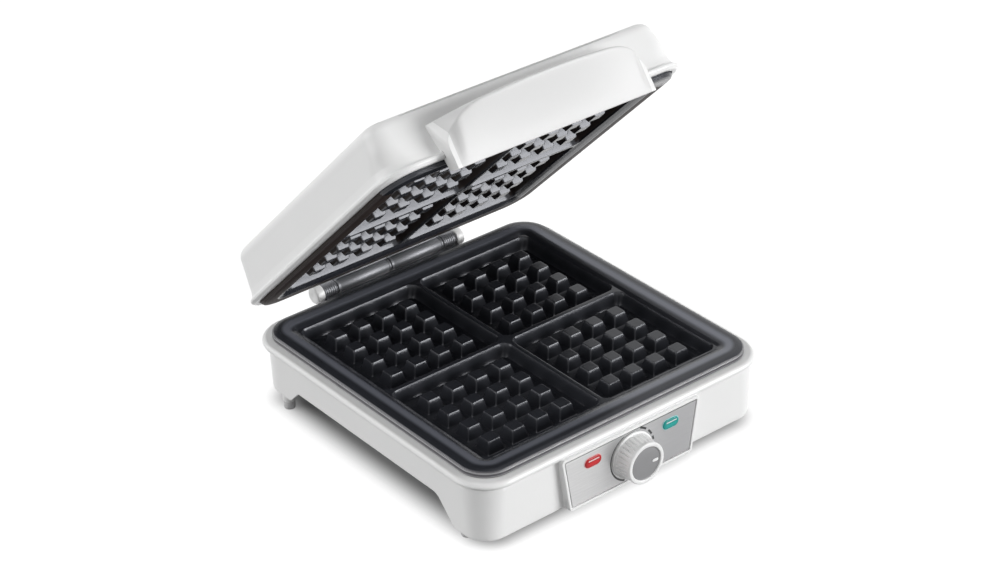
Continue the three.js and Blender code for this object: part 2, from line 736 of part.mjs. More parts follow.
function panelBezel() {
  const outer = prism(bezelOutline(0), "y", -halfD - bezelOut, bezelBack);
  const ceiling = deckTop - deckThickness - fit;
  const flangeOutline = bezelOutline(bezelFlange).map(([x, z]) => [x, THREE.MathUtils.clamp(z, wallFoot, ceiling)]);
  const flange = prism(flangeOutline, "y", bezelBack - bezelFlangeThickness, bezelBack);
  const recess = prism(bezelOutline(-bezelBorder), "y", -halfD - bezelOut - overrun, bezelWallFront);
  const hollow = prism(bezelOutline(-bezelWall), "y", bezelWallBack, bezelBack + overrun);
  return cut(join(outer, flange), recess, hollow, ...panelHoles(bezelWallFront - overrun, bezelWallBack + overrun));
}

const controlPanel = () =>
  cut(
    prism(bezelOutline(-bezelBorder - fit / 2), "y", panelY, bezelWallFront),
    ...panelHoles(panelY - overrun, bezelWallFront + overrun),
  );

function lens(side) {
  const body = prism(lensOutline(side, 0), "y", panelY - lensProud, bezelWallBack + fit + lensFlangeThickness);
  const flange = prism(lensOutline(side, lensFlange), "y", bezelWallBack + fit, bezelWallBack + fit + lensFlangeThickness);
  return join(body, flange);
}
const lamp = (side) => {
  const start = bezelWallBack + lensFlangeThickness + 2 * fit;
  return aimed(rod(lampRadius, 0, lampLength, heaterSides), Y, side * lensSpread, start, plateLevel - lensDrop);
};

// The thermostat behind the panel. Its bushing passes through the bezel and the panel.
function thermostat() {
  const plateStart = bezelWallBack + fit;
  const bodyStart = plateStart + mountPlate;
  const plate = prism(
    rectangle(-mountPlateHalf, mountPlateHalf, knobZ - mountPlateHeight, knobZ + mountPlateHeight), "y", plateStart, bodyStart);
  const body = aimed(rod(thermostatRadius, 0, thermostatLength), Y, 0, bodyStart - fit / 2, knobZ);
  const bush = aimed(rod(bushRadius, panelY - bushReach, bodyStart), Y, 0, 0, knobZ);
  const bore = aimed(rod(shaftRadius + runningFit, panelY - bushReach - overrun, bodyStart + shaftSink + fit), Y, 0, 0, knobZ);
  return cut(join(plate, body, bush), bore);
}
const thermostatNut = () => {
  const ring = cut(rod(nutRadius, 0, nutThickness, 6), rod(bushRadius + fit, -overrun, nutThickness + overrun));
  return aimed(ring, front, 0, panelY, knobZ);
};
const thermostatShaft = () => {
  const end = bezelWallBack + fit + mountPlate + shaftSink;
  return aimed(rod(shaftRadius, -end, shaftReach - panelY), front, 0, 0, knobZ);
};

// The knob, turned about the shaft: reaches run from the panel's face towards the front.
function knobSkirt() {
  const sides = 2 * knobFlutes;
  const ringAt = (radius, reach, flute) => {
    const ring = [];
    for (let i = 0; i < sides; i++) {
      const turn = (i / sides) * 2 * Math.PI;
      const here = radius - (i % 2) * flute;
      ring.push(new THREE.Vector3(here * Math.cos(turn), here * Math.sin(turn), reach));
    }
    return ring;
  };
  const ringStart = knobReach - knobRingHeight;
  const body = loft([
    ringAt(knobFlange, knobGap, 0),
    ringAt(knobFlange, knobFlangeHeight, 0),
    ringAt(knobFootRadius, knobFlangeHeight + fluteDepth / 2, fluteDepth),
    ringAt(knobTopRadius, ringStart, fluteDepth),
    ringAt(knobRingRadius, ringStart + fluteDepth / 2, 0),
    ringAt(knobRingRadius, knobReach - fluteDepth / 2, 0),
    ringAt(knobRingRadius - fluteDepth / 2, knobReach, 0),
  ]);
  const cavityEnd = knobReach - knobDish - discThickness - knobFace;
  const cavity = turned([[0, knobGap - overrun], [knobCavity, knobGap - overrun], [knobCavity, knobGap], [knobCavityTop, cavityEnd], [0, cavityEnd]]);
  const hub = rod(hubRadius, hubStart, cavityEnd + fit);
  const bore = rod(shaftRadius + fit / 2, hubStart - overrun, shaftReach + fit);
  const dish = rod(knobRingRadius - knobRingWall, knobReach - knobDish - discThickness, knobReach + overrun);
  return aimed(cut(join(cut(body, cavity, dish), hub), bore), front, 0, panelY, knobZ);
}
const knobDisc = () => {
  const seat = knobReach - knobDish - discThickness;
  return aimed(rod(discRadius, seat, seat + discThickness), front, 0, panelY, knobZ);
};
const knobPointer = () => {
  const start = panelY - knobReach + knobDish;
  const bar = stadium(pointerOuter - pointerInner, pointerWidth, (pointerInner + pointerOuter) / 2, 0);
  return prism(bar, "y", start - pointerHeight, start).rotateY(-pointerAngle).translate(0, 0, knobZ);
};

// The hinge. A leaf is a plate on a pad, with arms to its knuckles round the pin.
const leafFace = halfD + padOut + fit;
function leaf(sign, halfWidth, knuckles) {
  const face = leafFace;
  const [near, far] = [hingeZ + sign * leafDrop, hingeZ + sign * (leafDrop + leafHeight)];
  const plate = box([-halfWidth, halfWidth], [face, face + leafThickness], [Math.min(near, far), Math.max(near, far)]);
  const arm = [
    [face, near + sign * leafThickness],
    [face + leafThickness, near + (sign * leafHeight) / 4],
    [hingeY + barrelRadius / 2, hingeZ + (sign * barrelRadius) / 2],
    [hingeY - barrelRadius / 2, hingeZ + (sign * barrelRadius) / 2],
  ];
  const arms = knuckles.map(([left, right]) => prism(arm, "x", left, right));
  const barrels = knuckles.map(([left, right]) => aimed(rod(barrelRadius, left, right), X, 0, hingeY, hingeZ));
  const bore = aimed(rod(boreRadius, -halfW, halfW), X, 0, hingeY, hingeZ);
  const holes = bothSides.map((side) => {
    const hole = rod(leafScrew.shank + fit, -leafThickness - overrun, overrun, screwSides);
    return aimed(hole, front, side * leafScrewSpread, face, (near + far) / 2);
  });
  return cut(join(plate, ...arms, ...barrels), bore, ...holes);
}
const knuckleStart = barrelHalf + knuckleGap;
const knuckleEnd = knuckleStart + knuckleLength;
const baseKnuckles = [[-knuckleEnd, -knuckleStart], [knuckleStart, knuckleEnd]];
const lidKnuckles = [[-barrelHalf, -knuckleGap / 2], [knuckleGap / 2, barrelHalf]];
const leafScrewAt = (sign, side) => {
  const seat = leafFace + leafThickness + fit + leafScrew.headHeight;
  return aimed(screw(leafScrew), front, side * leafScrewSpread, seat, hingeZ + sign * (leafDrop + leafHeight / 2));
};
const capStart = knuckleEnd + knuckleGap;
const pinEnd = capStart + capLength - capWall - fit;
const hingePinRod = () => aimed(rod(hingePin, -pinEnd, pinEnd), X, 0, hingeY, hingeZ);
function hingeCap(side) {
  const body = rod(capRadius, capStart, capStart + capLength);
  const bore = rod(boreRadius, capStart - overrun, capStart + capLength - capWall);
  return aimed(cut(body, bore), X.clone().multiplyScalar(side), 0, hingeY, hingeZ);
}

// The lid's outer shell, in its closed place.
function lidWallOutAt(z) {
  return THREE.MathUtils.mapLinear(z, lipTop, shoulderZ, lidWallOut, -shoulderInset);
}

// The hollow's section at one place across, grown by a wall all round for the lid's own skin there.
function scoopSection(x, wall) {
  const share = Math.abs(x / (scoopHalf + wall)) ** scoopPower;
  const back = THREE.MathUtils.lerp(scoopDepth, -lidWallOut - fit, share) + wall;
  const foot = plateLevel + scoopFoot - wall;
  const point = (out, z) => new THREE.Vector3(x, -halfD - out, z);
  return [
    point(lipOut + overrun, foot),
    point(lipOut + overrun, lidTop + overrun),
    point(-back, lidTop + overrun),
    point(-back, foot + scoopRound),
    point(scoopRound - back, foot),
  ];
}
const scoop = (wall) => sideways((x) => scoopSection(x, wall), scoopHalf + wall, scoopStations);

function lidCasing() {
  const shoulder = (wall) => {
    const rings = [];
    for (let i = 0; i <= shoulderSteps; i++) {
      const turn = (i / shoulderSteps) * quarter;
      const radius = shoulderRadius - wall;
      const inset = shoulderInset + shoulderRadius - radius * Math.cos(turn);
      rings.push(ringOut(-inset, shoulderZ + radius * Math.sin(turn), lidWallCorner - inset));
    }
    return rings;
  };
  const lip = lipShares.map(([out, rise]) => ringOut(out * lipOut, lipFoot + rise * lipHeight, lipCorner));
  const shell = loft([
    ringOut(-crownInset, lidTop - lidWall, smallCorner),
    ...shoulder(lidWall).reverse(),
    ringOut(lidWallOut - lidWall, lipTop, lidWallCorner - lidWall),
    ringOut(lidWallOut - lidWall, lidSeat + deckThickness, lidWallCorner - lidWall),
    ringOut(-deckInset, lidSeat + deckThickness, plateCorner - deckInset),
    ringOut(-deckInset, lidSeat, plateCorner - deckInset),
    ringOut(lipInner, lidSeat, plateCorner + lipInner),
    ringOut(lipInner, lipFoot, plateCorner + lipInner),
    ...lip,
    ringOut(lidWallOut, lipTop, lidWallCorner),
    ...shoulder(0),
    ringOut(-crownInset, lidTop, smallCorner),
  ]);
  const upper = loft([ringOut(lidWallOut, lipTop, lidWallCorner), ...shoulder(0), ringOut(-crownInset, lidTop, smallCorner)]);
  const padTop = hingeZ + leafDrop + leafHeight + padMargin;
  const pad = box([-padHalf, padHalf], [halfD - lidWall, halfD + padOut], [lidSeat + deckThickness / 2, padTop]);
  const hingePocket = box([-padHalf, padHalf], [halfD + padOut, halfD + lipOut + overrun], [lipFoot - overrun, padTop]);
  const screwHoles = [];
  for (const sideX of bothSides) {
    for (const sideY of bothSides) {
      const hole = rod(plateScrew.shank + fit, lidSeat - overrun, lidSeat + deckThickness + overrun, screwSides);
      screwHoles.push(hole.translate(sideX * (halfW - plateScrewInset), sideY * plateScrewBack, 0));
    }
  }
  const handleHoles = bothSides.map((side) => {
    const hole = rod(handleScrew.shank + fit, -overrun, shoulderRadius, screwSides);
    return aimed(hole, front, side * handleBossSpread, -halfD + lidWall + overrun, handleBossZ);
  });
  const bores = leafBores(halfD + padOut, hingeZ + leafDrop + leafHeight / 2);
  return cut(join(shell, pad, common(upper, scoop(lidWall))), scoop(0), hingePocket, ...screwHoles, ...handleHoles, ...bores);
}

// The bowed handle with its skirt. Its upper rim bends back to the lid's wall, and a trough lies behind it.
const handleBossZ = plateLevel + handleBossLevel;
const handleFootZ = plateLevel - handleFoot;
const handleTopZ = plateLevel + handleTop;
function handleBulgeAt(x, z) {
  const rise = (z - handleFootZ) / (handleTop + handleFoot);
  const bow = handleBulge * (1 - (x / handleHalf) ** 2);
  return handleFootOut + handleLean * rise + bow * rise ** handleBulgePower;
}
function handleCreaseAt(x) {
  const bend = THREE.MathUtils.clamp((Math.abs(x) - handleHalf + handleCornerLength) / handleCornerLength, 0, 1);
  return handleTopZ - handleRound - handleCornerDrop * (1 - Math.sqrt(1 - bend * bend));
}
function handleRimAt(x) {
  const reach = handleFootOut + handleLean + handleBulge - handleRound;
  return THREE.MathUtils.lerp(reach, handleWall + fit, Math.abs(x / handleHalf) ** handleRimPower);
}
function handleFrontAt(x, z) {
  const crease = handleCreaseAt(x);
  if (z <= crease) return handleBulgeAt(x, z);
  return THREE.MathUtils.mapLinear(z, crease, handleTopZ, handleBulgeAt(x, crease), handleRimAt(x));
}
function handleSection(x) {
  const crease = handleCreaseAt(x);
  const point = (out, z) => new THREE.Vector3(x, -halfD - out, z);
  const rises = handleFrontShares.map((share) => handleFootZ + share * (crease - handleFootZ));
  return [
    ...rises.map((z) => point(handleBulgeAt(x, z), z)),
    point(handleRimAt(x), handleTopZ),
    point(lidWallOutAt(handleTopZ) + fit, handleTopZ),
    point(lidWallOutAt(lipTop) + fit, lipTop + fit),
    point(lipOut + fit, lipTop + fit),
    point(lipOut + fit, lipFoot - fit),
    point(skirtBackOut, lipFoot - fit),
    point(skirtBackOut, plateLevel - skirtBackFoot),
    point(skirtHeelOut, plateLevel - skirtHeelFoot),
  ];
}
const troughFloor = plateLevel + scoopFoot;

// The space inside the handle's wall between two heights, open to the lid.
function handleInside(low, high, rise) {
  const heights = [low, (low + high) / 2, high];
  return sideways((x) => {
    const point = (out, z) => new THREE.Vector3(x, -halfD - out, z);
    const fronts = heights.map((z) => point(handleFrontAt(x, z) - handleWall, z));
    const last = handleFrontAt(x, high) - handleWall;
    return [...fronts, point(last, high + rise), point(-lidWall, high + rise), point(-lidWall, low)];
  }, handleHalf - handleWall, handleStations);
}
function lidHandle() {
  const bosses = bothSides.map((side) => {
    const start = halfD + lidWallOutAt(handleBossZ - handleBossRadius) + fit;
    const end = halfD + handleBulgeAt(handleBossSpread, handleBossZ) - handleWall / 2;
    return aimed(rod(handleBossRadius, start, end), front, side * handleBossSpread, 0, handleBossZ);
  });
  const bores = bothSides.map((side) => {
    const bore = rod(handleScrew.shank + fit, 0, handleScrew.length, screwSides);
    return aimed(bore, front, side * handleBossSpread, -halfD, handleBossZ);
  });
  const trough = handleInside(troughFloor, handleTopZ, overrun);
  const under = handleInside(lipTop + fit + handleWall, troughFloor - handleFloor - fit, fit);
  const body = cut(sideways(handleSection, handleHalf, handleStations), trough, under);
  return cut(join(body, ...bosses), ...bores);
}
function handleScrewAt(side) {
  const wall = -halfD - lidWallOutAt(handleBossZ + handleScrew.head) + lidWall;
  const seat = wall + handleScrew.headHeight + fit;
  return aimed(screw(handleScrew), front, side * handleBossSpread, seat, handleBossZ);
}

// Electrical pieces of the base.
const glandZ = plateLevel - glandDrop;
function cordGland() {
  const wallY = halfD + wallOutAt(glandDrop - glandFlange) + fit;
  const outside = rod(glandFlange, wallY, wallY + glandFlangeThickness);
  const body = rod(glandRadius, wallY - glandReach, wallY + fit);
  const bore = rod(glandBore, wallY - glandReach - overrun, wallY + glandFlangeThickness + overrun);
  return aimed(cut(join(outside, body), bore), Y, glandSide, 0, glandZ);
}
function terminalBlock() {
  const base = box([blockSide - blockWidth / 2, blockSide + blockWidth / 2],
    [blockBack - blockDepth / 2, blockBack + blockDepth / 2], [coverThickness, coverThickness + blockHeight]);
  const grooves = [-1, 0, 1].map((k) => {
    const x = blockSide + (k * blockWidth) / 3;
    const top = coverThickness + blockHeight;
    return box([x - blockGroove, x + blockGroove], [blockBack - blockDepth, blockBack - blockDepth / 4], [top - blockHeight / 3, top + overrun]);
  });
  return cut(base, ...grooves);
}

// The leads. Their ways between the ends are shares of the plate's half sizes and of the plate's level.
const lead = (...points) => tube(new THREE.CatmullRomCurve3(points), leadRadius, leadSides, leadSteps);
const wayOf = (shares) => shares.map(([x, y, z]) => new THREE.Vector3(x * halfW, y * halfD, z * plateLevel));
const pinEnds = (side, z) => {
  const end = new THREE.Vector3(side * heaterHalf, heaterRear + pinLength + leadGap, z);
  return [end.clone().add(new THREE.Vector3(0, leadStraight, 0)), end];
};
const blockTerminal = (side) => {
  const rise = coverThickness + blockHeight + leadRadius + fit;
  return new THREE.Vector3(blockSide + (side * blockWidth) / 3, blockBack, rise);
};
const thermostatTab = (side) => {
  const end = bezelWallBack + fit + mountPlate + thermostatLength;
  return new THREE.Vector3((side * thermostatRadius) / 2, end + leadGap, knobZ);
};
const supplyLead = () => lead(blockTerminal(-1), ...wayOf(supplyShares), thermostatTab(1));
const heaterLead = () => lead(thermostatTab(-1), ...wayOf(heaterLeadShares), ...pinEnds(-1, heaterZ + plateLevel));
const returnLead = () => lead(blockTerminal(1), ...wayOf(returnShares), ...pinEnds(1, heaterZ + plateLevel));
const lidLead = (side) => {
  const way = wayOf(lidLeadShares).map((point) => point.multiply(new THREE.Vector3(side, 1, 1)));
  return lead(...pinEnds(side, heaterZ).reverse(), ...way);
};

// The whole object.
const waffleMaker = new THREE.Group();
waffleMaker.add(
  piece("base_casing", baseCasing(), whitePlastic),
  piece("bottom_cover", bottomCover(), palePlastic),
  piece("rubber_foot_front_left", rubberFoot(-1, -1), paleRubber),
  piece("rubber_foot_front_right", rubberFoot(1, -1), paleRubber),
  piece("rubber_foot_rear_left", rubberFoot(-1, 1), paleRubber),
  piece("rubber_foot_rear_right", rubberFoot(1, 1), paleRubber),
  piece("panel_bezel", panelBezel(), whitePlastic),
  piece("control_panel", controlPanel(), brushedSteel),
  piece("heating_lens", lens(-1), redLens),
  piece("ready_lens", lens(1), tealLens),
  piece("heating_lamp", lamp(-1), bakelite),
  piece("ready_lamp", lamp(1), bakelite),
  piece("thermostat", thermostat(), zincSteel),
  piece("thermostat_nut", thermostatNut(), zincSteel),
  piece("terminal_block", terminalBlock(), bakelite),
  piece("supply_lead", supplyLead(), leadSleeve),
  piece("heater_lead", heaterLead(), leadSleeve),
  piece("return_lead", returnLead(), leadSleeve),
  piece("cord_gland", cordGland(), bakelite),
  piece("hinge_base_leaf", leaf(-1, knuckleEnd, baseKnuckles), blackMetal),
  piece("hinge_base_screw_left", leafScrewAt(-1, -1), zincSteel),
  piece("hinge_base_screw_right", leafScrewAt(-1, 1), zincSteel),
  piece("hinge_pin", hingePinRod(), zincSteel),
  piece("hinge_cap_left", hingeCap(-1), whitePlastic),
  piece("hinge_cap_right", hingeCap(1), whitePlastic),
);

// Four like screws, one at each corner of a rectangle.
const fourScrews = (name, kind, x, y, z) => {
  const places = [["front_left", -1, -1], ["front_right", 1, -1], ["rear_left", -1, 1], ["rear_right", 1, 1]];
  return places.map(([place, sideX, sideY]) =>
    piece(`${name}_${place}`, screw(kind).translate(sideX * x, sideY * y, z), zincSteel));
};
const coverScrewSeat = coverRim - coverScrew.headHeight;
waffleMaker.add(...fourScrews("cover_screw", coverScrew, halfW - coverPostInset, coverPostBack, coverScrewSeat));

// What a plate carries, in the plate's own frame.
const plateSet = (level) => {
  const group = new THREE.Group();
  group.add(
    piece(`${level}_waffle_plate`, wafflePlate(), nonStick),
    ...fourScrews(`${level}_plate_screw`, plateScrew, halfW - plateScrewInset, plateScrewBack, plateScrewSeat),
    piece(`${level}_heating_element`, heatingElement(), sheetSteel),
    piece(`${level}_heat_shield`, heatShield(), sheetSteel),
    piece(`${level}_shield_screw`, screw(shieldScrew).translate(0, 0, shieldScrewSeat), zincSteel),
  );
  return group;
};
const lowerSet = plateSet("lower");
lowerSet.position.z = plateLevel;
lowerSet.add(piece("thermal_fuse", thermalFuse(), zincSteel));
waffleMaker.add(lowerSet);

// The knob and the shaft that it turns.
waffleMaker.add(
  piece("knob_skirt", knobSkirt(), whitePlastic),
  piece("knob_disc", knobDisc(), discGrey),
  piece("knob_pointer", knobPointer(), whitePlastic),
  piece("thermostat_shaft", thermostatShaft(), zincSteel),
);

// The lid swings about the hinge. The inner group holds it in its closed place.
const lidPivot = new THREE.Group();
lidPivot.position.set(0, hingeY, hingeZ);
lidPivot.rotation.x = -openAngle;
const lid = new THREE.Group();
lid.position.set(0, -hingeY, -hingeZ);
lidPivot.add(lid);
waffleMaker.add(lidPivot);

const upperSet = plateSet("upper");
upperSet.position.z = upperLevel;
upperSet.rotation.y = Math.PI;
upperSet.add(piece("lid_lead_left", lidLead(1), leadSleeve), piece("lid_lead_right", lidLead(-1), leadSleeve));
lid.add(
  upperSet,
  piece("lid_casing", lidCasing(), whitePlastic),
  piece("lid_handle", lidHandle(), whitePlastic),
  piece("handle_screw_left", handleScrewAt(-1), zincSteel),
  piece("handle_screw_right", handleScrewAt(1), zincSteel),
  piece("hinge_lid_leaf", leaf(1, barrelHalf, lidKnuckles), blackMetal),
  piece("hinge_lid_screw_left", leafScrewAt(1, -1), zincSteel),
  piece("hinge_lid_screw_right", leafScrewAt(1, 1), zincSteel),
);

export default waffleMaker;
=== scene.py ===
# %% [markdown]
# # A waffle maker, dressed for its portrait
# The object is a countertop waffle maker for four square waffles, with its lid half open. Its solids come
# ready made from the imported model: they say where every piece is and how big it is. What follows makes the
# visible surfaces: soft rounded mouldings, a cast plate with pegs, brushed steel and a dark hinge.

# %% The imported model
import bpy
import bmesh
import json
import math
from mathutils import Matrix, Vector


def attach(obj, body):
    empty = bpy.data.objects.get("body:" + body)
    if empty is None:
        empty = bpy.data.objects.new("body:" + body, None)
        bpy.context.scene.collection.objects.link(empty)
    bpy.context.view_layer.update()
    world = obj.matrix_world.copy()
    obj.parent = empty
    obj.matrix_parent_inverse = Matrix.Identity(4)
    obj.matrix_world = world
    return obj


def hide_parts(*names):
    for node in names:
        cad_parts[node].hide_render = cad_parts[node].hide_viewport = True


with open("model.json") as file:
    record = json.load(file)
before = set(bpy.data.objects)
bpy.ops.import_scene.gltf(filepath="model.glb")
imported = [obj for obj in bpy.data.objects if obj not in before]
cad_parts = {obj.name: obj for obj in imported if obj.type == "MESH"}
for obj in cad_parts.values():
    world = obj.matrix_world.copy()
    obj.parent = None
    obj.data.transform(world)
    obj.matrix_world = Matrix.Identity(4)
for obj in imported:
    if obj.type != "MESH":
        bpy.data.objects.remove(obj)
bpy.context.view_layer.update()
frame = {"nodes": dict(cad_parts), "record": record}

# %% [markdown]
# ## The main sizes
# Heights are millimetres above the top edge of the lower plate and outs are measured from the plate's side.
# The lid's pieces are written as they lie when the lid is shut, and one matrix swings them to the half-open
# place. That way, both plates and both casings share the same helpers.

# %% Sizes and the lid's place
# MM and METRE turn millimetres into metres and back. LEVEL, the plate's edge, and TABLE are CAD heights.
MM, METRE = 0.001, 1000.0
LEVEL, TABLE = 54.0, -13.5
HALF_W, HALF_D, PLATE_CORNER = 142.5, 144.7, 25.0
PLATE_GAP = 1.2
HINGE_Y, HINGE_Z = 159.4, -2.6
OPEN = math.radians(44.65)
hinge_at = Vector((0, HINGE_Y, LEVEL + HINGE_Z))
BASE = Matrix.Translation((0, 0, LEVEL))
LID = Matrix.Translation(hinge_at) @ Matrix.Rotation(-OPEN, 4, "X") @ Matrix.Translation(-hinge_at) @ BASE
UPPER = LID @ Matrix.Translation((0, 0, PLATE_GAP)) @ Matrix.Rotation(math.pi, 4, "Y")
print("hinge at", tuple(round(v, 1) for v in hinge_at))

# %% [markdown]
# ## Writing shader maths as sums
# A material is a little network. To read it like a formula, a Link holds one output of a node and knows the
# arithmetic signs: adding two links adds a Math node. A Finish holds the material and has one method that
# makes any other node from its type, its settings and what goes into its sockets.

# %% Links and finishes
class Link:
    """One output in a material. Sums and products of links become Math nodes."""

    def __init__(self, finish, socket):
        self.finish, self.socket = finish, socket

    def math(self, operation, first, second=0.0):
        return self.finish.node("Math", {"operation": operation}, {0: first, 1: second})

    def __add__(self, other):
        return self.math("ADD", self, other)

    def __radd__(self, other):
        return self.math("ADD", other, self)

    def __sub__(self, other):
        return self.math("SUBTRACT", self, other)

    def __rsub__(self, other):
        return self.math("SUBTRACT", other, self)

    def __mul__(self, other):
        return self.math("MULTIPLY", self, other)

    def __rmul__(self, other):
        return self.math("MULTIPLY", other, self)

    def __truediv__(self, other):
        return self.math("DIVIDE", self, other)

    def __pow__(self, other):
        return self.math("POWER", self, other)

    def __gt__(self, other):
        return self.math("GREATER_THAN", self, other)

    def __lt__(self, other):
        return self.math("LESS_THAN", self, other)

    def __abs__(self):
        return self.math("ABSOLUTE", self)

    def larger(self, other):
        return self.math("MAXIMUM", self, other)


class Finish:
    """A material whose nodes are made by name. Every finish is kept in made, under the name asked for."""

    made = {}

    def __init__(self, name, **constants):
        self.made[name] = self
        self.material = bpy.data.materials.new(name)
        self.material.use_nodes = True
        self.tree = self.material.node_tree
        self.shader = self.tree.nodes["Principled BSDF"]
        self.surface(**constants)

    def node(self, kind, settings=None, sockets=None, output=0):
        node = self.tree.nodes.new("ShaderNode" + kind)
        for key, value in (settings or {}).items():
            setattr(node, key, value)
        for key, value in (sockets or {}).items():
            self.feed(node.inputs[key], value)
        return Link(self, node.outputs[output])

    def feed(self, socket, value):
        if isinstance(value, Link):
            self.tree.links.new(value.socket, socket)
        else:
            socket.default_value = value

    def surface(self, **values):
        for key, value in values.items():
            name = key.replace("_", " ").title().replace("Ior", "IOR")
            if name.endswith("Color") and not isinstance(value, Link):
                value = (*value, 1.0)
            self.feed(self.shader.inputs[name], value)

    def axis(self, number):
        """One coordinate of the object's own space, in metres: 0 for X, 1 for Y, 2 for Z."""
        return self.node("SeparateXYZ", {}, {0: self.node("TexCoord", output=3)}, number)

    def beyond(self, half_x, half_y):
        """How far a place lies outside a rectangle round the middle. The half sizes are in millimetres."""
        across = (abs(self.axis(0)) - half_x * MM).larger(0.0)
        along = (abs(self.axis(1)) - half_y * MM).larger(0.0)
        return (across * across + along * along) ** 0.5

    def fade(self, value, zero_at, one_at):
        """Zero at one value and one at another, with a smooth run between them."""
        return self.node("MapRange", {"interpolation_type": "SMOOTHSTEP"}, {0: value, 1: zero_at, 2: one_at})

    def noise(self, scale, detail=3.0, roughness=0.5, stretch=(1.0, 1.0, 1.0)):
        place = self.node("Mapping", {}, {"Vector": self.node("TexCoord", output=3), "Scale": stretch})
        sockets = {"Vector": place, "Scale": scale, "Detail": detail, "Roughness": roughness}
        return self.node("TexNoise", {}, sockets)

    def mix(self, share, first, second):
        colours = [value if isinstance(value, Link) else (*value, 1.0) for value in (first, second)]
        return self.node("Mix", {"data_type": "RGBA"}, {0: share, 6: colours[0], 7: colours[1]}, 2)

    def bump(self, height, distance):
        return self.node("Bump", {}, {"Strength": 1.0, "Distance": distance, "Height": height})


def scaled(tone, factor):
    """A tone made darker or lighter, with no channel over one."""
    return tuple(min(1.0, channel * factor) for channel in tone)


print("a tone made darker:", scaled((0.8, 0.8, 0.8), 0.5))

# %% [markdown]
# ## The finishes
# White moulded plastic is never one flat tone: the colour drifts a little, the gloss is patchy and the skin
# has a faint orange peel. Noise at two scales gives that. The same recipe makes the matt mouldings.

# %% White plastic and the other mouldings
def moulding(name, tone, roughness, peel=0.00002, drift=0.012, grain=1400.0):
    finish = Finish(name, specular_ior_level=0.5)
    cloud = finish.noise(18.0, 2.0)
    fine = finish.noise(grain, 2.0)
    finish.surface(
        base_color=finish.mix(cloud, scaled(tone, 1 - drift * 2), scaled(tone, 1 + drift)),
        roughness=roughness + 0.08 * (cloud - 0.5) + 0.05 * (fine - 0.5),
        normal=finish.bump(fine + 2.0 * finish.noise(220.0, 1.0), peel),
    )
    return finish


white_plastic = moulding("white_plastic", (0.865, 0.867, 0.865), 0.3)
handle_plastic = moulding("handle_plastic", (0.67, 0.671, 0.671), 0.42)
moulding("cover_plastic", (0.62, 0.62, 0.62), 0.5, 0.00004, 0.02)
foot_rubber = moulding("foot_rubber", (0.6, 0.6, 0.605), 0.7, 0.00006, 0.03, 2600.0)
moulding("bakelite", (0.07, 0.062, 0.056), 0.5, 0.00005, 0.06)
moulding("lead_sleeve", (0.42, 0.06, 0.045), 0.55, 0.00003, 0.05)
print("mouldings:", len(bpy.data.materials))

# %% [markdown]
# The plates are cast and coated with a dark non-stick layer. It is smooth but not polished, it holds tiny
# speckles, and the eye sees it by what it mirrors. A little metal in the mix darkens the mirrored tones the
# way the real coating does. The machined edge shows more of the metal. On the lower plate, the colour also
# carries a painted highlight along the rim's crest and two painted highlight lines round the edge.

# %% Coated plates
# Places of the lower plate's painted highlights: a band on the rim's crest and two lines on its side.
CREST_INSET, CREST_HALF, CREST_CORE = 12.2, 5.5, 1.0
HIGHLIGHT_DEPTHS, LINE_HALF, LINE_CORE = (1.9, 4.6), 0.6, 0.2


def crest_painted_highlight(finish):
    """Painted highlight: one along the crest of the lower plate's rim, with a soft fall on both sides."""
    from_middle = finish.beyond(HALF_W - PLATE_CORNER, HALF_D - PLATE_CORNER)
    depth = abs(from_middle - (PLATE_CORNER - CREST_INSET) * MM)
    return finish.fade(depth, CREST_HALF * MM, CREST_CORE * MM)


def edge_painted_highlights(finish):
    """Painted highlight: one on two thin lines round the lower plate's side, where its machined step catches
    the light.
    """
    height = finish.axis(2)
    away = [abs(height - (LEVEL - depth) * MM) for depth in HIGHLIGHT_DEPTHS]
    upper, lower = (finish.fade(distance, LINE_HALF * MM, LINE_CORE * MM) for distance in away)
    return upper.larger(lower)


# The optional marks and their tone lay painted highlight into the base colour.
def coated(name, tone, metal, roughness, marks=None, highlight_tone=None):
    finish = Finish(name)
    speckle = finish.noise(5200.0, 2.0)
    flake = finish.noise(2100.0, 1.0) > 0.66
    cloud = finish.noise(40.0, 2.0)
    brighter = tuple(channel * 1.9 + 0.012 for channel in tone)
    colour = finish.mix(0.3 * flake + 0.25 * cloud, tone, brighter)
    finish.surface(
        base_color=finish.mix(marks(finish), colour, highlight_tone) if marks else colour,
        metallic=metal,
        roughness=roughness + 0.12 * (cloud - 0.5) + 0.1 * (speckle - 0.5),
        normal=finish.bump(speckle + 0.5 * cloud, 0.00003),
    )
    return finish


non_stick = coated("non_stick", (0.03, 0.032, 0.039), 0.3, 0.21)
# The lower plate's coat carries a painted highlight on the rim's crest.
lower_coat = coated("lower_coat", (0.03, 0.032, 0.039), 0.3, 0.21, crest_painted_highlight, (0.19, 0.2, 0.235))
# The edge's finish carries two painted highlight lines round the lower plate's machined step.
plate_edge = coated("plate_edge", (0.085, 0.083, 0.09), 0.4, 0.3, edge_painted_highlights, (0.3, 0.3, 0.31))
# shaded_edge: painted shade and a painted brown reflection for the faces that turn from the light.
shaded_edge = coated("shaded_edge", (0.026, 0.019, 0.017), 0.1, 0.5)
shaded_edge.surface(specular_ior_level=0.15)
hinge_metal = coated("hinge_metal", (0.17, 0.174, 0.186), 0.5, 0.46)
print("finishes so far:", len(bpy.data.materials))

# %% [markdown]
# Brushed metal is noise pulled out along one direction: long streaks change the gloss and tilt the surface a
# hair, and the mirrored light smears across them.

# %% Brushed and plated metals
def brushed(name, tone, roughness, stretch):
    finish = Finish(name, metallic=1.0)
    streaks = finish.noise(1.0, 3.0, 0.6, stretch)
    finish.surface(
        base_color=finish.mix(streaks, scaled(tone, 0.9), scaled(tone, 1.06)),
        roughness=roughness + 0.16 * (streaks - 0.5),
        normal=finish.bump(streaks, 0.00001),
    )
    return finish


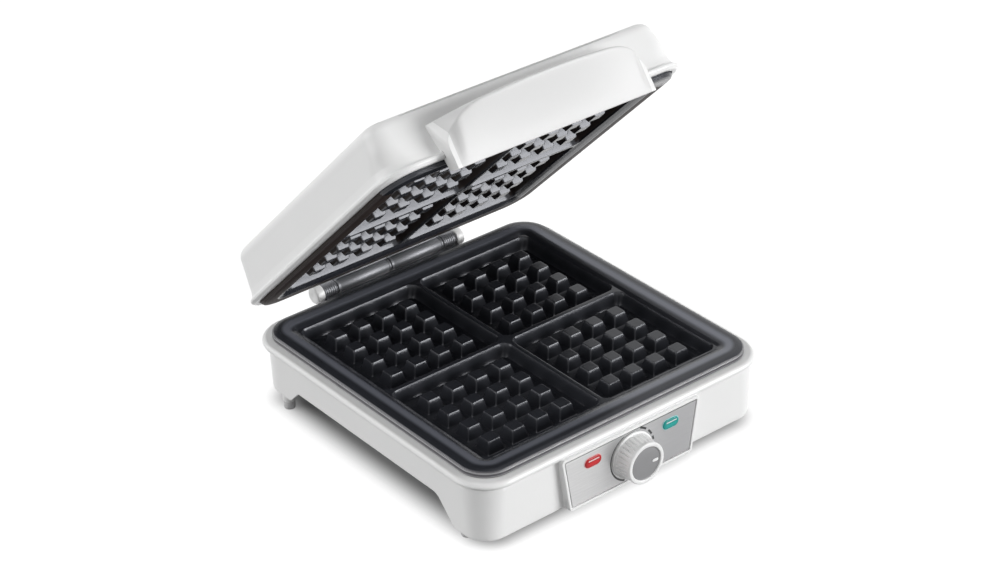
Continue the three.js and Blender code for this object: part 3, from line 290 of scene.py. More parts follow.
brushed("screw_steel", (0.6, 0.6, 0.61), 0.35, (900.0, 900.0, 900.0))
brushed("sheet_metal", (0.52, 0.52, 0.53), 0.4, (40.0, 2500.0, 900.0))
brushed("heater_steel", (0.3, 0.29, 0.28), 0.5, (600.0, 600.0, 600.0))
disc_grey = brushed("disc_grey", (0.25, 0.25, 0.255), 0.38, (120.0, 300.0, 6000.0))
print("finishes:", len(bpy.data.materials))

# %% [markdown]
# ## Mesh helpers
# Most of the mouldings follow the same rounded rectangle as the plates. A ring walks round that outline at one
# out and one height, and a skin joins rings into a surface. That gives control of every roll and step.

# %% Rings and skins
CORNER_STEPS = 14


def around(out, corner, z, xs=(), ys=(), rear_corner=None):
    """A ring round the plates' outline, with extra stations along its straight sides."""
    half_x, half_y = HALF_W + out, HALF_D + out
    front_corner, points = corner, []
    for k, (sx, sy) in enumerate([(1, 1), (-1, 1), (-1, -1), (1, -1)]):
        corner = rear_corner if rear_corner is not None and sy > 0 else front_corner
        for i in range(CORNER_STEPS + 1):
            turn = (k + i / CORNER_STEPS) * math.pi / 2
            points.append(Vector((
                sx * (half_x - corner) + corner * math.cos(turn),
                sy * (half_y - corner) + corner * math.sin(turn), z)))
        x_end, y_end = half_x - corner, half_y - max(front_corner, rear_corner or 0)
        if k in (0, 2):
            row = [Vector((max(-x_end, min(x_end, x)), sy * half_y, z)) for x in xs]
        else:
            row = [Vector((sx * half_x, max(-y_end, min(y_end, y)), z)) for y in ys]
        points += reversed(row) if k in (0, 1) else row
    return points


def skin(rings, closed_ring=True, endless=False, cap_first=False, cap_last=False):
    """Vertices and faces of a surface through rings of equal length."""
    count = len(rings[0])
    points = [point for ring in rings for point in ring]
    faces = []
    steps = len(rings) if endless else len(rings) - 1
    for r in range(steps):
        low, high = r * count, ((r + 1) % len(rings)) * count
        for i in range(count if closed_ring else count - 1):
            j = (i + 1) % count
            faces.append((low + i, low + j, high + j, high + i))
    if cap_first:
        faces.append(tuple(reversed(range(count))))
    if cap_last:
        faces.append(tuple(range((len(rings) - 1) * count, len(rings) * count)))
    return points, faces


print("a plain ring has", len(around(0, PLATE_CORNER, 0)), "points")

# %% [markdown]
# A piece is made from its points and faces in one go: points are welded where they meet, normals are turned
# outwards, and the shading is smooth but for the edges where the surface really turns.

# %% Pieces
def make(name, parts, place, finish, body, nodes=(), sharp=38.0, second=None, chooses=None):
    """One visible piece from lists of points and faces."""
    mesh = bpy.data.meshes.new(name)
    build = bmesh.new()
    for points, faces in parts:
        made = [build.verts.new(place @ Vector(point) * MM) for point in points]
        for face in faces:
            build.faces.new([made[k] for k in face])
    bmesh.ops.remove_doubles(build, verts=build.verts, dist=0.00002)
    bmesh.ops.dissolve_degenerate(build, edges=build.edges, dist=0.000005)
    bmesh.ops.recalc_face_normals(build, faces=build.faces)
    build.to_mesh(mesh)
    build.free()
    mesh.shade_smooth()
    mesh.set_sharp_from_angle(angle=math.radians(sharp))
    mesh.materials.append(finish.material)
    if second:
        mesh.materials.append(second.material)
        back = place.inverted()
        for polygon in mesh.polygons:
            if chooses(back @ (polygon.center * METRE)):
                polygon.material_index = 1
    piece = bpy.data.objects.new(name, mesh)
    bpy.context.scene.collection.objects.link(piece)
    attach(piece, body)
    if nodes:
        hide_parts(*nodes)
    print(f"{name}: {len(mesh.polygons)} faces")
    return piece


# %% [markdown]
# Real mouldings have no sharp corners. A fillet rounds one corner with an arc of the radius asked for, or less
# where the lines beside it are short, so a profile is a short list of corners and radii. A lathe turns a
# profile round an axis, which makes the dial, the barrels and the feet.

# %% Rounded lines and turned bodies
def fillet(before, here, after, radius, steps, free_before=False, free_after=False):
    """Points of the round where two straight lines meet."""
    back, ahead = before - here, after - here
    half = back.angle(ahead) / 2
    reach = min(
        radius / math.tan(half),
        back.length * (0.99 if free_before else 0.49),
        ahead.length * (0.99 if free_after else 0.49))
    start, end = here + back.normalized() * reach, here + ahead.normalized() * reach
    weight = math.sin(half)
    points = []
    for i in range(steps + 1):
        t = i / steps
        a, b, c = (1 - t) ** 2, 2 * t * (1 - t) * weight, t ** 2
        points.append((start * a + here * b + end * c) / (a + b + c))
    return points


def roll(points, steps=6):
    """A polyline of (a, b, radius) corners with each corner rounded by its radius."""
    corners, smooth = [Vector(point[:2]) for point in points], []
    for k, here in enumerate(corners):
        if points[k][2] == 0 or k in (0, len(points) - 1):
            smooth.append(here)
        else:
            smooth += fillet(corners[k - 1], here, corners[k + 1], points[k][2], steps,
                             points[k - 1][2] == 0, points[k + 1][2] == 0)
    return smooth


def rounded(points, radius, steps=5):
    """A closed outline of (a, b) corners with each corner rounded."""
    corners, outline = [Vector(point) for point in points], []
    for k, here in enumerate(corners):
        outline += fillet(corners[k - 1], here, corners[(k + 1) % len(corners)], radius, steps)
    return outline


def lathe(profile, turns=64, shape=None):
    """Rings round the local Z axis through (radius, height) points. Shape may cut into the radius."""
    rings = []
    for radius, height in profile:
        ring = []
        for i in range(turns):
            angle = 2 * math.pi * i / turns
            reach = radius - (shape(angle, height) if shape else 0.0)
            ring.append(Vector((reach * math.cos(angle), reach * math.sin(angle), height)))
        rings.append(ring)
    return skin(rings, cap_first=True, cap_last=True)


def blend(low, high, share):
    return low + (high - low) * share


def ease(share):
    """A share between zero and one, with a soft start and a soft end."""
    share = max(0.0, min(1.0, share))
    return share * share * (3 - 2 * share)


print("half way up a soft step:", ease(0.5))

# %% [markdown]
# ## The base casing
# The base is one white moulding: a fine rounded bead round the top, walls that draw in slightly towards the
# feet, and a long arch low in each side wall that leaves four legs. The wall's foot is not level, so every
# station round the outline asks where its own foot is. That keeps a clean edge without a boolean cut.

# %% Base casing
FOOT, REAR_FOOT, BEAD_FOOT, ARCH = -60.7, -51.0, -12.4, -38.0
WALL_OUT, FOOT_OUT = 4.2, 2.1
WALL_CORNER, FOOT_CORNER, REAR_CORNER_EXTRA = 26.0, 21.0, 6.0
PAD_HALF, PAD_OUT, PAD_FOOT = 79.5, 4.5, -37.6


def arch_foot(y):
    """The height of the side wall's foot at one place along the side."""
    front = [(0, ARCH, 0), (93.0, ARCH, 9.0), (112.0, FOOT, 2.0), (130.0, FOOT, 0)]
    rear = [(0, ARCH, 0), (90.0, ARCH, 4.0), (103.0, REAR_FOOT, 3.0), (130.0, REAR_FOOT, 0)]
    line = roll(front if y < 0 else rear, 8)
    for (y0, z0), (y1, z1) in zip(line, line[1:]):
        if y0 <= abs(y) <= y1:
            return blend(z0, z1, (abs(y) - y0) / max(y1 - y0, 1e-6))
    return FOOT if y < 0 else REAR_FOOT


def down_wall(z, at_bead, at_foot):
    return blend(at_bead, at_foot, (z - BEAD_FOOT) / (FOOT - BEAD_FOOT))


# The stations along the sides crowd where the arch bends, and those at the rear stand beside the hinge pad.
side_ys = [-119.5, -117, -115, -113.5, -112.5, -111.5, -110, -106, -102, -98, -95, -92, -89, -86, -83, -70]
side_ys += [-40, -10, 10, 40, 70, 80, 84, 86, 88, 89.5, 91, 93, 96, 99, 101, 102.5, 104, 106, 110, 115]
rear_xs = [-79.8, -79.3, -40, 0, 40, 79.3, 79.8]


def wall_ring(inset, share):
    """A ring of the wall, a share of the way from the bead down to the foot."""
    heights = []
    for top in around(WALL_OUT, WALL_CORNER, 0, rear_xs, side_ys):
        foot = arch_foot(top.y) if abs(top.x) > HALF_W else arch_foot(math.copysign(130, top.y))
        heights.append(blend(BEAD_FOOT - 0.8, foot, share))
    level_rings, points = {}, []
    for k, z in enumerate(heights):
        key = round(z, 4)
        if key not in level_rings:
            out = down_wall(z, WALL_OUT, FOOT_OUT) - inset
            corner = down_wall(z, WALL_CORNER, FOOT_CORNER) - inset
            level_rings[key] = around(out, corner, z, rear_xs, side_ys, corner + REAR_CORNER_EXTRA)
        points.append(level_rings[key][k])
    return points


def at_rear(points, low, high):
    """The flat pad behind the wall where the hinge is screwed on, and the gap in the bead above it."""
    for point in points:
        if point.y > HALF_D + 1.0 and abs(point.x) < PAD_HALF and low < point.z < high:
            point.y = HALF_D + PAD_OUT
    return points


BEAD_INSIDE, BEAD_OUTSIDE = -11, 8
bead = roll([
    (BEAD_INSIDE, -8.8, 0), (BEAD_INSIDE, -5.8, 0.8), (6.6, -5.8, 3.0), (8.15, -9.2, 2.6), (6.2, -12.5, 2.0),
    (4.3, -12.5, 0.5), (4.2, -13.2, 0)], 7)
casing_rings = []
for p in bead[:-1]:
    outward = ease((p.x - BEAD_INSIDE) / (BEAD_OUTSIDE - BEAD_INSIDE))
    casing_rings.append(around(p.x, blend(14, 31, outward), p.y, rear_xs, side_ys))
casing_rings += [wall_ring(0, share) for share in (0.0, 0.1, 0.25, 0.45, 0.5, 0.55, 0.7, 0.85, 0.95)]
foot_edge = [(0, 0.012), (0.25, 0.003), (0.7, 0), (1.9, 0), (2.4, 0.006)]
casing_rings += [wall_ring(inset, 1 - lift) for inset, lift in foot_edge]
casing_rings += [wall_ring(2.5, share) for share in (0.9, 0.5, 0.0)]
casing_rings.append(around(1.7, 23.5, -8.8, rear_xs, side_ys))
for ring in casing_rings:
    at_rear(ring, PAD_FOOT, 0)
make("base_shell", [skin(casing_rings, endless=True)], BASE, white_plastic, "base",
     ["base_casing"])

# %% [markdown]
# ## The cooking plates
# Each plate is one casting. A wide convex rim goes round four wells, and 4 by 4 blunt pegs stand in each. The
# field of wells is a height map on an uneven grid: lines crowd where the surface bends and stay wide apart
# where it is flat. A smooth minimum and maximum give each edge the small radius that a casting has. The rim is
# a skin of rings, like the casing. Both plates come from the same function.

# %% Cooking plates
DECK, FLOOR, TIP = -2.5, -14.1, -3.5
WELL_X, WELL_Y, WELL_CORNER, WALL_RUN, RIB = 118.5, 119.5, 8.0, 3.0, 4.0
PITCH_X, PITCH_Y, PEG_HALF, PEG_RUN = 24.0, 25.0, 8.55, 2.75
FIELD_INSET = 21.5


def smooth_min(a, b, k):
    h = max(k - abs(a - b), 0.0) / k
    return min(a, b) - h * h * k / 4


def smooth_max(a, b, k):
    return -smooth_min(-a, -b, k)


def in_well(x, y):
    """A place's offsets from the middle of its well, then from the middle of the nearest peg."""
    dx, dy = abs(abs(x) - (RIB + WELL_X) / 2), abs(abs(y) - (RIB + WELL_Y) / 2)
    px = min(abs(dx - PITCH_X / 2), abs(dx - PITCH_X * 1.5))
    py = min(abs(dy - PITCH_Y / 2), abs(dy - PITCH_Y * 1.5))
    return dx, dy, px, py


def well_height(x, y):
    """The height of the cooking surface at one place."""
    dx, dy, px, py = in_well(x, y)
    ex, ey = dx - (WELL_X / 2 - WELL_CORNER), dy - (WELL_Y / 2 - WELL_CORNER)
    edge = math.hypot(max(ex, 0), max(ey, 0)) + min(max(ex, ey), 0) - WELL_CORNER
    wall = DECK + 0.35 + (DECK - FLOOR) / WALL_RUN * edge
    height = smooth_max(smooth_min(wall, DECK, 1.6), FLOOR, 2.2)
    peg = FLOOR + (PEG_HALF - smooth_max(px, py, 1.4)) * (TIP - FLOOR) / PEG_RUN
    return smooth_max(height, smooth_min(peg, TIP, 1.5), 1.6)


def grid_lines(size, pitch, length):
    """Places of the grid's lines: close together at walls and peg edges."""
    centre = (RIB + length) / 2
    lines = {0.0, size}
    for offset in (0, 0.5, 1.0, 1.6, 2.2, 2.8, 3.5, 4.6, 6.0, 8.0):
        lines |= {RIB / 2 + offset, RIB / 2 + length - offset}
    lines |= {RIB / 2 - 0.6, RIB / 2 - 1.2, RIB / 2 + length + 0.25}
    for k in (-1.5, -0.5, 0.5, 1.5):
        for offset in (3.0, 4.6, 5.1, 5.6, 6.1, 6.8, 7.5, 8.1, 8.6, 9.2):
            lines |= {centre + k * pitch + offset, centre + k * pitch - offset}
        lines.add(centre + k * pitch)
    ordered = sorted(value for value in lines if value <= size)
    kept = [ordered[0]]
    for value in ordered[1:]:
        if value - kept[-1] > 0.3:
            kept.append(value)
    kept[-1] = size
    return [-value for value in reversed(kept[1:])] + kept


def well_field():
    xs = grid_lines(HALF_W - FIELD_INSET, PITCH_X, WELL_X)
    ys = grid_lines(HALF_D - FIELD_INSET, PITCH_Y, WELL_Y)
    rows = [[Vector((x, y, well_height(x, y))) for x in xs] for y in ys]
    return skin(rows, closed_ring=False)


rim_line = roll([
    (-21.7, DECK - 0.2, 0), (-18.6, -1.25, 6), (-14.4, 0.05, 9), (-9.0, 0.6, 12), (-4.4, 0.35, 6),
    (-1.6, -0.35, 1.4), (-1.0, -0.8, 0.4), (-1.0, -1.7, 0.25), (0.0, -1.7, 0.4), (0.0, -5.5, 0.5),
    (-2.5, -5.5, 0.5), (-2.5, -3.6, 0), (-15, -3.6, 0), (-17.5, -17.6, 0)], 6)


def outside(p):
    """How far a point stands outside the plates' rounded outline."""
    qx, qy = abs(p.x) - (HALF_W - PLATE_CORNER), abs(p.y) - (HALF_D - PLATE_CORNER)
    return math.hypot(max(qx, 0), max(qy, 0)) + min(max(qx, qy), 0) - PLATE_CORNER


def plate(name, place, body, node, coat, edge, edge_part):
    rings = [around(p.x, max(PLATE_CORNER + p.x, 4), p.y) for p in rim_line]
    parts = [skin(rings, cap_last=True), well_field()]
    make(name, parts, place, coat, body, [node], 30.0, edge, edge_part)


EDGE_TOP, EDGE_FOOT, EDGE_INSET = -0.55, -5.6, 1.3
# The last of these is how far the front of the upper plate's side runs without painted shade.
SIDE_INSET, WELL_INSET, LIT_FRONT = 13.5, 19.0, 30.0


def machined(p):
    """The stepped edge of the lower plate."""
    return outside(p) > -EDGE_INSET and EDGE_FOOT < p.z < EDGE_TOP


def painted_shade(p):
    """The upper plate's sides and the pegs' side slopes, which take a dark brown painted shade and painted
    reflection.
    """
    if outside(p) > -SIDE_INSET:
        return p.y > -HALF_D + LIT_FRONT
    _, _, px, py = in_well(p.x, p.y)
    return outside(p) < -WELL_INSET and px > py and FLOOR + 1.0 < p.z < TIP - 0.7


plate("lower_plate_casting", BASE, "base", "lower_waffle_plate", lower_coat, plate_edge, machined)
plate("upper_plate_casting", UPPER, "lid", "upper_waffle_plate", non_stick, shaded_edge, painted_shade)

# %% [markdown]
# ## The lid
# The lid is the base's counterpart: a thin flared lip, walls that draw in, a generous rolled shoulder and a
# nearly flat top. In the middle of its front the shoulder is scooped out for the fingers. Two profiles with
# the same number of points, one plain and one scooped, are blended across the front, so the hollow runs out
# softly at its ends.

# %% Lid shell
front_xs = sorted({sign * value for sign in (-1, 1) for value in (
    0, 20, 40, 55, 66, 74, 79.3, 79.8, 83, 86, 89, 91, 93, 95, 97, 99, 101, 103, 106, 109, 112)})
plain = roll([
    (2.0, 21.0, 0), (-1.1, 40.4, 0), (-1.8, 51.2, 10.2), (-12.5, 51.4, 0), (-40, 52.2, 0), (-60, 52.5, 0)], 14)
scooped = roll([
    (2.0, 21.0, 0), (1.2, 23.0, 0.8), (-6.5, 22.6, 3.0), (-14.0, 27.0, 6.0), (-14.5, 44.0, 8.0),
    (-11.6, 51.9, 0.7), (-16, 51.75, 0), (-40, 52.2, 0), (-60, 52.5, 0)], 8)
lip = roll([
    (-11, 10.0, 0), (-11, 7.0, 0.5), (0.6, 7.0, 0.3), (0.6, 5.0, 0.3), (4.4, 5.0, 1.2), (6.95, 7.2, 1.4),
    (6.6, 9.2, 0.7), (4.1, 10.6, 3.2), (2.6, 17.0, 7.0), (2.0, 21.0, 0)], 6)


def resample(line, count):
    """The same polyline with evenly spread points."""
    gaps = [(b - a).length for a, b in zip(line, line[1:])]
    total, walked, k = sum(gaps), 0.0, 0
    points = []
    for i in range(count):
        target = total * i / (count - 1)
        while k < len(gaps) - 1 and walked + gaps[k] < target:
            walked += gaps[k]
            k += 1
        points.append(line[k] + (line[k + 1] - line[k]) * min(1.0, (target - walked) / gaps[k]))
    return points


def scoop_share(x, z):
    """One in the middle of the finger hollow and zero past its ends, which spread towards the top."""
    lift = ease((z - 30) / 12)
    return 1 - ease((abs(x) - blend(86, 92, lift)) / blend(9, 20, lift))


SCOOP_END = 113.0


def lid_ring(out, z, scoop_out=None, scoop_z=None):
    rear_corner = blend(27, 30, ease((out - 3) / 4)) if out > 3 else max(27 + (out - 3.2) * 0.95, 4)
    corner = max(rear_corner - 7 * ease((z - 14) / 20), 4)
    ring = around(out, corner, z, front_xs, side_ys, rear_corner)
    if scoop_out is None:
        return ring
    for point in ring:
        on_front = point.y < -HALF_D + 45 and abs(point.y + HALF_D + out) < 1e-6
        if on_front and abs(point.x) < SCOOP_END:
            share = scoop_share(point.x, z)
            point.y = -(HALF_D + blend(out, scoop_out, share))
            point.z = blend(z, scoop_z, share)
    return ring


UPPER_ROWS = 40
lid_rings = [lid_ring(p.x, p.y) for p in lip[:-1]]
for p, hollow in zip(resample(plain, UPPER_ROWS), resample(scooped, UPPER_ROWS)):
    lid_rings.append(lid_ring(p.x, p.y, hollow.x, hollow.y))
for ring in lid_rings:
    at_rear(ring, -10, 32.4)
make("lid_shell", [skin(lid_rings, cap_last=True)], LID, white_plastic, "lid",
     ["lid_casing"])

# %% [markdown]
# ## The handle
# The handle is a wide bowed shell on the lid's front. Its lower edge is a straight skirt that hangs before the
# plates, its front swells towards the top, and its upper rim bends back to the lid at both ends, with a trough
# behind it. Each slice across is a closed outline worked out from the same few curves, so the front, the rim
# and the trough stay in step.

# %% Handle
HANDLE_HALF, HANDLE_TOP, HANDLE_FOOT, TROUGH_FLOOR = 97.0, 33.4, -8.5, 22.0
CREASE_BEND_FROM, CREASE_DROP = 60.0, 23.6
END_FROM, END_LENGTH, END_BAND = 84.0, 9.0, 93.3


def pad_swell(x):
    return 13.0 * (1 - abs(x / HANDLE_HALF) ** 2.6) + 8.0 * ease((93.0 - abs(x)) / 7.0)


def handle_front(x, z):
    """How far out the front stands at one place across and one height."""
    rise = max(0.0, (z - HANDLE_FOOT) / (HANDLE_TOP - HANDLE_FOOT))
    return 15.3 + 5.0 * rise + pad_swell(x) * rise ** 1.2


def handle_crease(x):
    """The height where the front turns into the top. It falls away like an ellipse towards the ends."""
    bend = max(0.0, min(1.0, (abs(x) - CREASE_BEND_FROM) / (HANDLE_HALF - CREASE_BEND_FROM)))
    return HANDLE_TOP - 1.6 - CREASE_DROP * (1 - math.sqrt(max(0.0, 1 - bend * bend)))


def handle_rim(x):
    return blend(37.9, 3.4, abs(x / HANDLE_HALF) ** 2.6)


def lid_face(z):
    return blend(3.2, -0.8, (z - 9.8) / 30.6)


def trough_line(x, crease, rim):
    """The inside of the trough, from the rim down to its floor."""
    line = [(rim - 2.6, HANDLE_TOP, 0.8)]
    for z in (30.0, 24.0):
        if z <= crease:
            outer = handle_front(x, z)
        else:
            outer = blend(handle_front(x, crease), rim, (z - crease) / (HANDLE_TOP - crease))
        line.append((outer - 3.0, z, 1.5))
    line.append((handle_front(x, TROUGH_FLOOR) - 5.0, TROUGH_FLOOR, 1.0))
    return line


seat_line = [
    (0.4, TROUGH_FLOOR, 0), (3.5, 10.1, 0), (7.1, 10.1, 0), (7.1, 4.7, 0.4), (3.3, 4.7, 0.4), (3.3, -4.4, 0.8),
    (9.2, -7.5, 0.8)]


def handle_slice(x):
    """The closed outline of the handle at one place across. At the ends the trough closes onto the lid."""
    crease, rim = handle_crease(x), handle_rim(x)
    outline = [(handle_front(x, HANDLE_FOOT), HANDLE_FOOT, 0.6)]
    for share in (0.12, 0.24, 0.31, 0.36, 0.5, 0.64, 0.78, 0.9):
        z = blend(HANDLE_FOOT, crease, share)
        outline.append((handle_front(x, z), z, 0))
    outline.append((handle_front(x, crease), crease, 1.8))
    outline.append((rim, HANDLE_TOP, 1.0))
    closed_end = ease((abs(x) - END_FROM) / END_LENGTH)
    for out, z, radius in trough_line(x, crease, rim):
        end_out = lid_face(z) + 0.3
        inner_out = max(blend(out, end_out, closed_end), end_out)
        outline.append((inner_out, z, max(radius * (1 - closed_end), 0.02)))
    outline += seat_line
    closed = [outline[-1]] + outline + [outline[0]]
    return [Vector((x, -(HALF_D + p.x), p.y)) for p in roll(closed, 4)[1:-1]]


def white_end(p):
    """The handle's end faces and the ends of its top, which are as white as the lid."""
    return abs(p.x) > END_BAND or (abs(p.x) > END_FROM and p.z > HANDLE_TOP - 0.5)


SLICES = 56
handle_xs = [HANDLE_HALF * math.sin((i / SLICES - 0.5) * math.pi) for i in range(SLICES + 1)]
handle = skin([handle_slice(x) for x in handle_xs], cap_first=True, cap_last=True)
make("handle_shell", [handle], LID, handle_plastic, "lid", ["lid_handle"], 38.0,
     white_plastic, white_end)

# %% [markdown]
# ## The control panel
# A white bezel stands proud of the front wall. It is a trapezoid, a little narrower at the foot, and holds a
# brushed steel plate with a dark gap all round, where the bezel's floor is painted near black as painted
# shade. The steel was rolled along its length, so the streaks run sideways.

# %% Bezel
DIAL_FACE, DIAL_Z = -153.5, -36.0
PANEL_TOP, PANEL_BOTTOM, PANEL_WIDE, PANEL_NARROW = -11.3, -61.6, 71.6, 63.6
# How far the sides lean for each millimetre of height, and how much longer they are for it.
PANEL_LEAN, PANEL_SLANT = 0.159, 1.0126
BEZEL_FLOOR = -151.6


def panel_outline(inset, radius):
    top, bottom = PANEL_TOP - inset, PANEL_BOTTOM + inset
    wide = PANEL_WIDE - PANEL_LEAN * inset - PANEL_SLANT * inset
    narrow = PANEL_NARROW + PANEL_LEAN * inset - PANEL_SLANT * inset
    return rounded([(-narrow, bottom), (narrow, bottom), (wide, top), (-wide, top)], radius)


def panel_rings(rows):
    return [[Vector((p.x, y, p.y)) for p in panel_outline(inset, radius)] for inset, y, radius in rows]


# The bezel's floor round the steel plate is painted near black: painted shade in the gap, with a little noise
# in it.
painted_gap_shade = Finish("painted_gap_shade", roughness=0.7)
gap_shade_noise = painted_gap_shade.noise(900.0)
painted_gap_shade.surface(
    base_color=painted_gap_shade.mix(gap_shade_noise, (0.02, 0.02, 0.022), (0.05, 0.05, 0.052)),
    normal=painted_gap_shade.bump(gap_shade_noise, 0.00002),
)
bezel_rows = [
    (0, -145.6, 3), (0, -153.5, 3), (0.08, -153.9, 3), (0.3, -154.2, 2.8), (0.7, -154.3, 2.5),
    (2.0, -154.3, 1.6), (2.35, -154.15, 1.4), (2.5, -153.8, 1.2), (2.5, BEZEL_FLOOR, 1.2)]
make("bezel_frame", [skin(panel_rings(bezel_rows), cap_last=True)], BASE, white_plastic, "base",
     ["panel_bezel"], 38.0, painted_gap_shade, lambda p: abs(p.y - BEZEL_FLOOR) < 0.05)

# %% [markdown]
# The steel's finish holds streaks along the plate, a painted reflection that darkens the tone to the right,
# and the printed marks, drawn from the angle round the dial: a crescent that widens, and three dashes.

# %% Steel plate and its printed marks
CRESCENT_FROM, CRESCENT_SWEEP, CRESCENT_INSIDE, CRESCENT_THIN, CRESCENT_GROWTH = 112.0, 138.0, 21.4, 21.9, 1.3
DASHES, DASH_INSIDE, DASH_OUTSIDE = ((50.0, 68.0), (27.0, 42.0), (11.0, 20.0)), 22.0, 23.8
panel_steel = Finish("panel_steel")
along_x, along_z = panel_steel.axis(0), panel_steel.axis(2)
dx, dz = along_x * METRE, along_z * METRE - (LEVEL + DIAL_Z)
reach = (dx * dx + dz * dz) ** 0.5
turn = panel_steel.node("Math", {"operation": "ARCTAN2"}, {0: dz, 1: dx}) * math.degrees(1)
sweep = (turn + 360.0 * (turn < 0.0) - CRESCENT_FROM) / CRESCENT_SWEEP
crescent = (sweep > 0.0) * (sweep < 1.0)
crescent = crescent * (reach > CRESCENT_INSIDE) * (reach < CRESCENT_THIN + CRESCENT_GROWTH * sweep)
dashes = sum((turn > start) * (turn < end) for start, end in DASHES)
print_marks = crescent + dashes * (reach > DASH_INSIDE) * (reach < DASH_OUTSIDE)
streaks = panel_steel.noise(1.0, 4.0, 0.65, (45.0, 900.0, 3400.0))
fine_streaks = panel_steel.noise(1.0, 2.0, 0.5, (160.0, 900.0, 9000.0))
# Painted reflection: the steel is light on the left and darkens to the right.
steel = panel_steel.mix(panel_steel.fade(along_x, -70 * MM, 50 * MM), (0.8, 0.8, 0.8), (0.43, 0.43, 0.44))
lined = panel_steel.mix(0.5 * streaks + 0.3 * fine_streaks, steel, (0.3, 0.3, 0.305))
panel_steel.surface(
    base_color=panel_steel.mix(print_marks, lined, (0.012, 0.012, 0.013)),
    metallic=0.72 * (1 - print_marks),
    roughness=0.34 + 0.2 * (streaks - 0.5),
    normal=panel_steel.bump(streaks + 0.4 * fine_streaks, 0.00001),
)
plate_rows = [
    (3.6, -152.0, 0.9), (3.35, -152.3, 1.0), (3.35, -153.75, 1.0), (3.45, -153.93, 1.0), (3.75, -154.0, 0.9)]
make("panel_plate", [skin(panel_rings(plate_rows), cap_last=True)], BASE, panel_steel, "base",
     ["control_panel"], 30.0)

# %% [markdown]
# The two lamps shine through small capsules of clear tinted plastic. A capsule is a stadium outline drawn at
# several depths: a straight rim, a wide rolled edge that catches a line of light, and a nearly flat front.

# %% Lenses
LENS_WIDE, LENS_HIGH, LENS_FACE, LENS_Z, LENS_SIDE = 16.6, 8.8, -154.02, -24.1, 40.3
ARC_STEPS = 10
lens_rows = [
    (0.55, 0.0), (0.5, 0.22), (0.05, 0.26), (-0.05, 0.3), (-0.1, 0.6), (-0.45, 0.95), (-1.1, 1.1),
    (-2.0, 1.14), (-4.2, 1.16)]


def stadium(grow):
    """Two half circles and two straight lines, made larger by a small amount."""
    half, radius = LENS_WIDE / 2 - LENS_HIGH / 2, LENS_HIGH / 2 + grow
    points = []
    for side, start in ((1, -math.pi / 2), (-1, math.pi / 2)):
        for i in range(ARC_STEPS + 1):
            angle = start + math.pi * i / ARC_STEPS
            points.append((side * half + radius * math.cos(angle), radius * math.sin(angle)))
    return points


def lens_plastic(name, x, tone):
    """Tinted plastic with a painted highlight line near its upper edge, a painted brighter band below the
    middle and a faint emission in its own tint.
    """
    glass = Finish(name, roughness=0.14, specular_ior_level=0.3)
    across = glass.axis(0) * METRE - x
    height = glass.axis(2) * METRE - (LEVEL + LENS_Z)
    cloud = glass.noise(260.0, 2.0)
    # Painted highlight near the upper edge and a painted brighter band below the middle.
    painted_highlight_line = (height > 1.25) * (height < 2.3) * (across > -5.0) * (across < 5.6)
    painted_glow_band = (height > -2.2) * (height < 0.2) * (abs(across) < 5.2)
    inside = glass.mix(0.45 + 0.3 * (cloud - 0.5) + 0.5 * painted_glow_band, scaled(tone, 0.5), tone)
    glass.surface(
        base_color=glass.mix(0.75 * painted_highlight_line, inside, (0.9, 0.9, 0.9)),
        emission_color=tone,
        emission_strength=0.06,
    )
    return glass


def lens(name, node, x, tone, pale):
    """One capsule. A pale ledge of the second finish goes round its foot, its pale tone a painted reflection
    of the white bezel.
    """
    ledge = Finish(name + "_ledge", roughness=0.3)
    grain = ledge.noise(1500.0)
    ledge.surface(base_color=ledge.mix(grain, scaled(pale, 0.93), pale), normal=ledge.bump(grain, 0.00001))
    place = Matrix.Translation((x, LENS_FACE, LEVEL + LENS_Z)) @ Matrix.Rotation(math.pi / 2, 4, "X")
    rings = [[Vector((px, py, depth)) for px, py in stadium(grow)] for grow, depth in lens_rows]
    make(name, [skin(rings, cap_last=True)], place, lens_plastic(name + "_plastic", x, tone), "base",
         [node], 50.0, ledge, lambda p: p.z < 0.29)


lens("heating_window", "heating_lens", -LENS_SIDE, (0.56, 0.008, 0.012), (0.8, 0.4, 0.4))
lens("ready_window", "ready_lens", LENS_SIDE, (0.0, 0.34, 0.31), (0.36, 0.7, 0.7))

# %% [markdown]
# ## The dial
# The dial is a lathed body with thirty finger grooves, cut into the radius while the rings are made. They fade
# out towards the front ring. A grey disc sits inside the ring, with a raised white pointer.

# %% Dial
DIAL = Matrix.Translation((0, DIAL_FACE, LEVEL + DIAL_Z)) @ Matrix.Rotation(math.pi / 2, 4, "X")
GROOVES, GROOVE_DEPTH, GROOVE_START, GROOVE_END = 30, 1.7, 2.9, 14.9
POINTER_TURN = -4


def groove(angle, height):
    """The grooves' depth at one angle and one height over the panel."""
    if not GROOVE_START < height < GROOVE_END:
        return 0.0
    depth = GROOVE_DEPTH * ease((height - GROOVE_START) / 1.0) * (1 - 0.45 * ease((height - 6) / 8.5))
    return depth * max(0.0, math.cos(GROOVES * angle)) ** 3


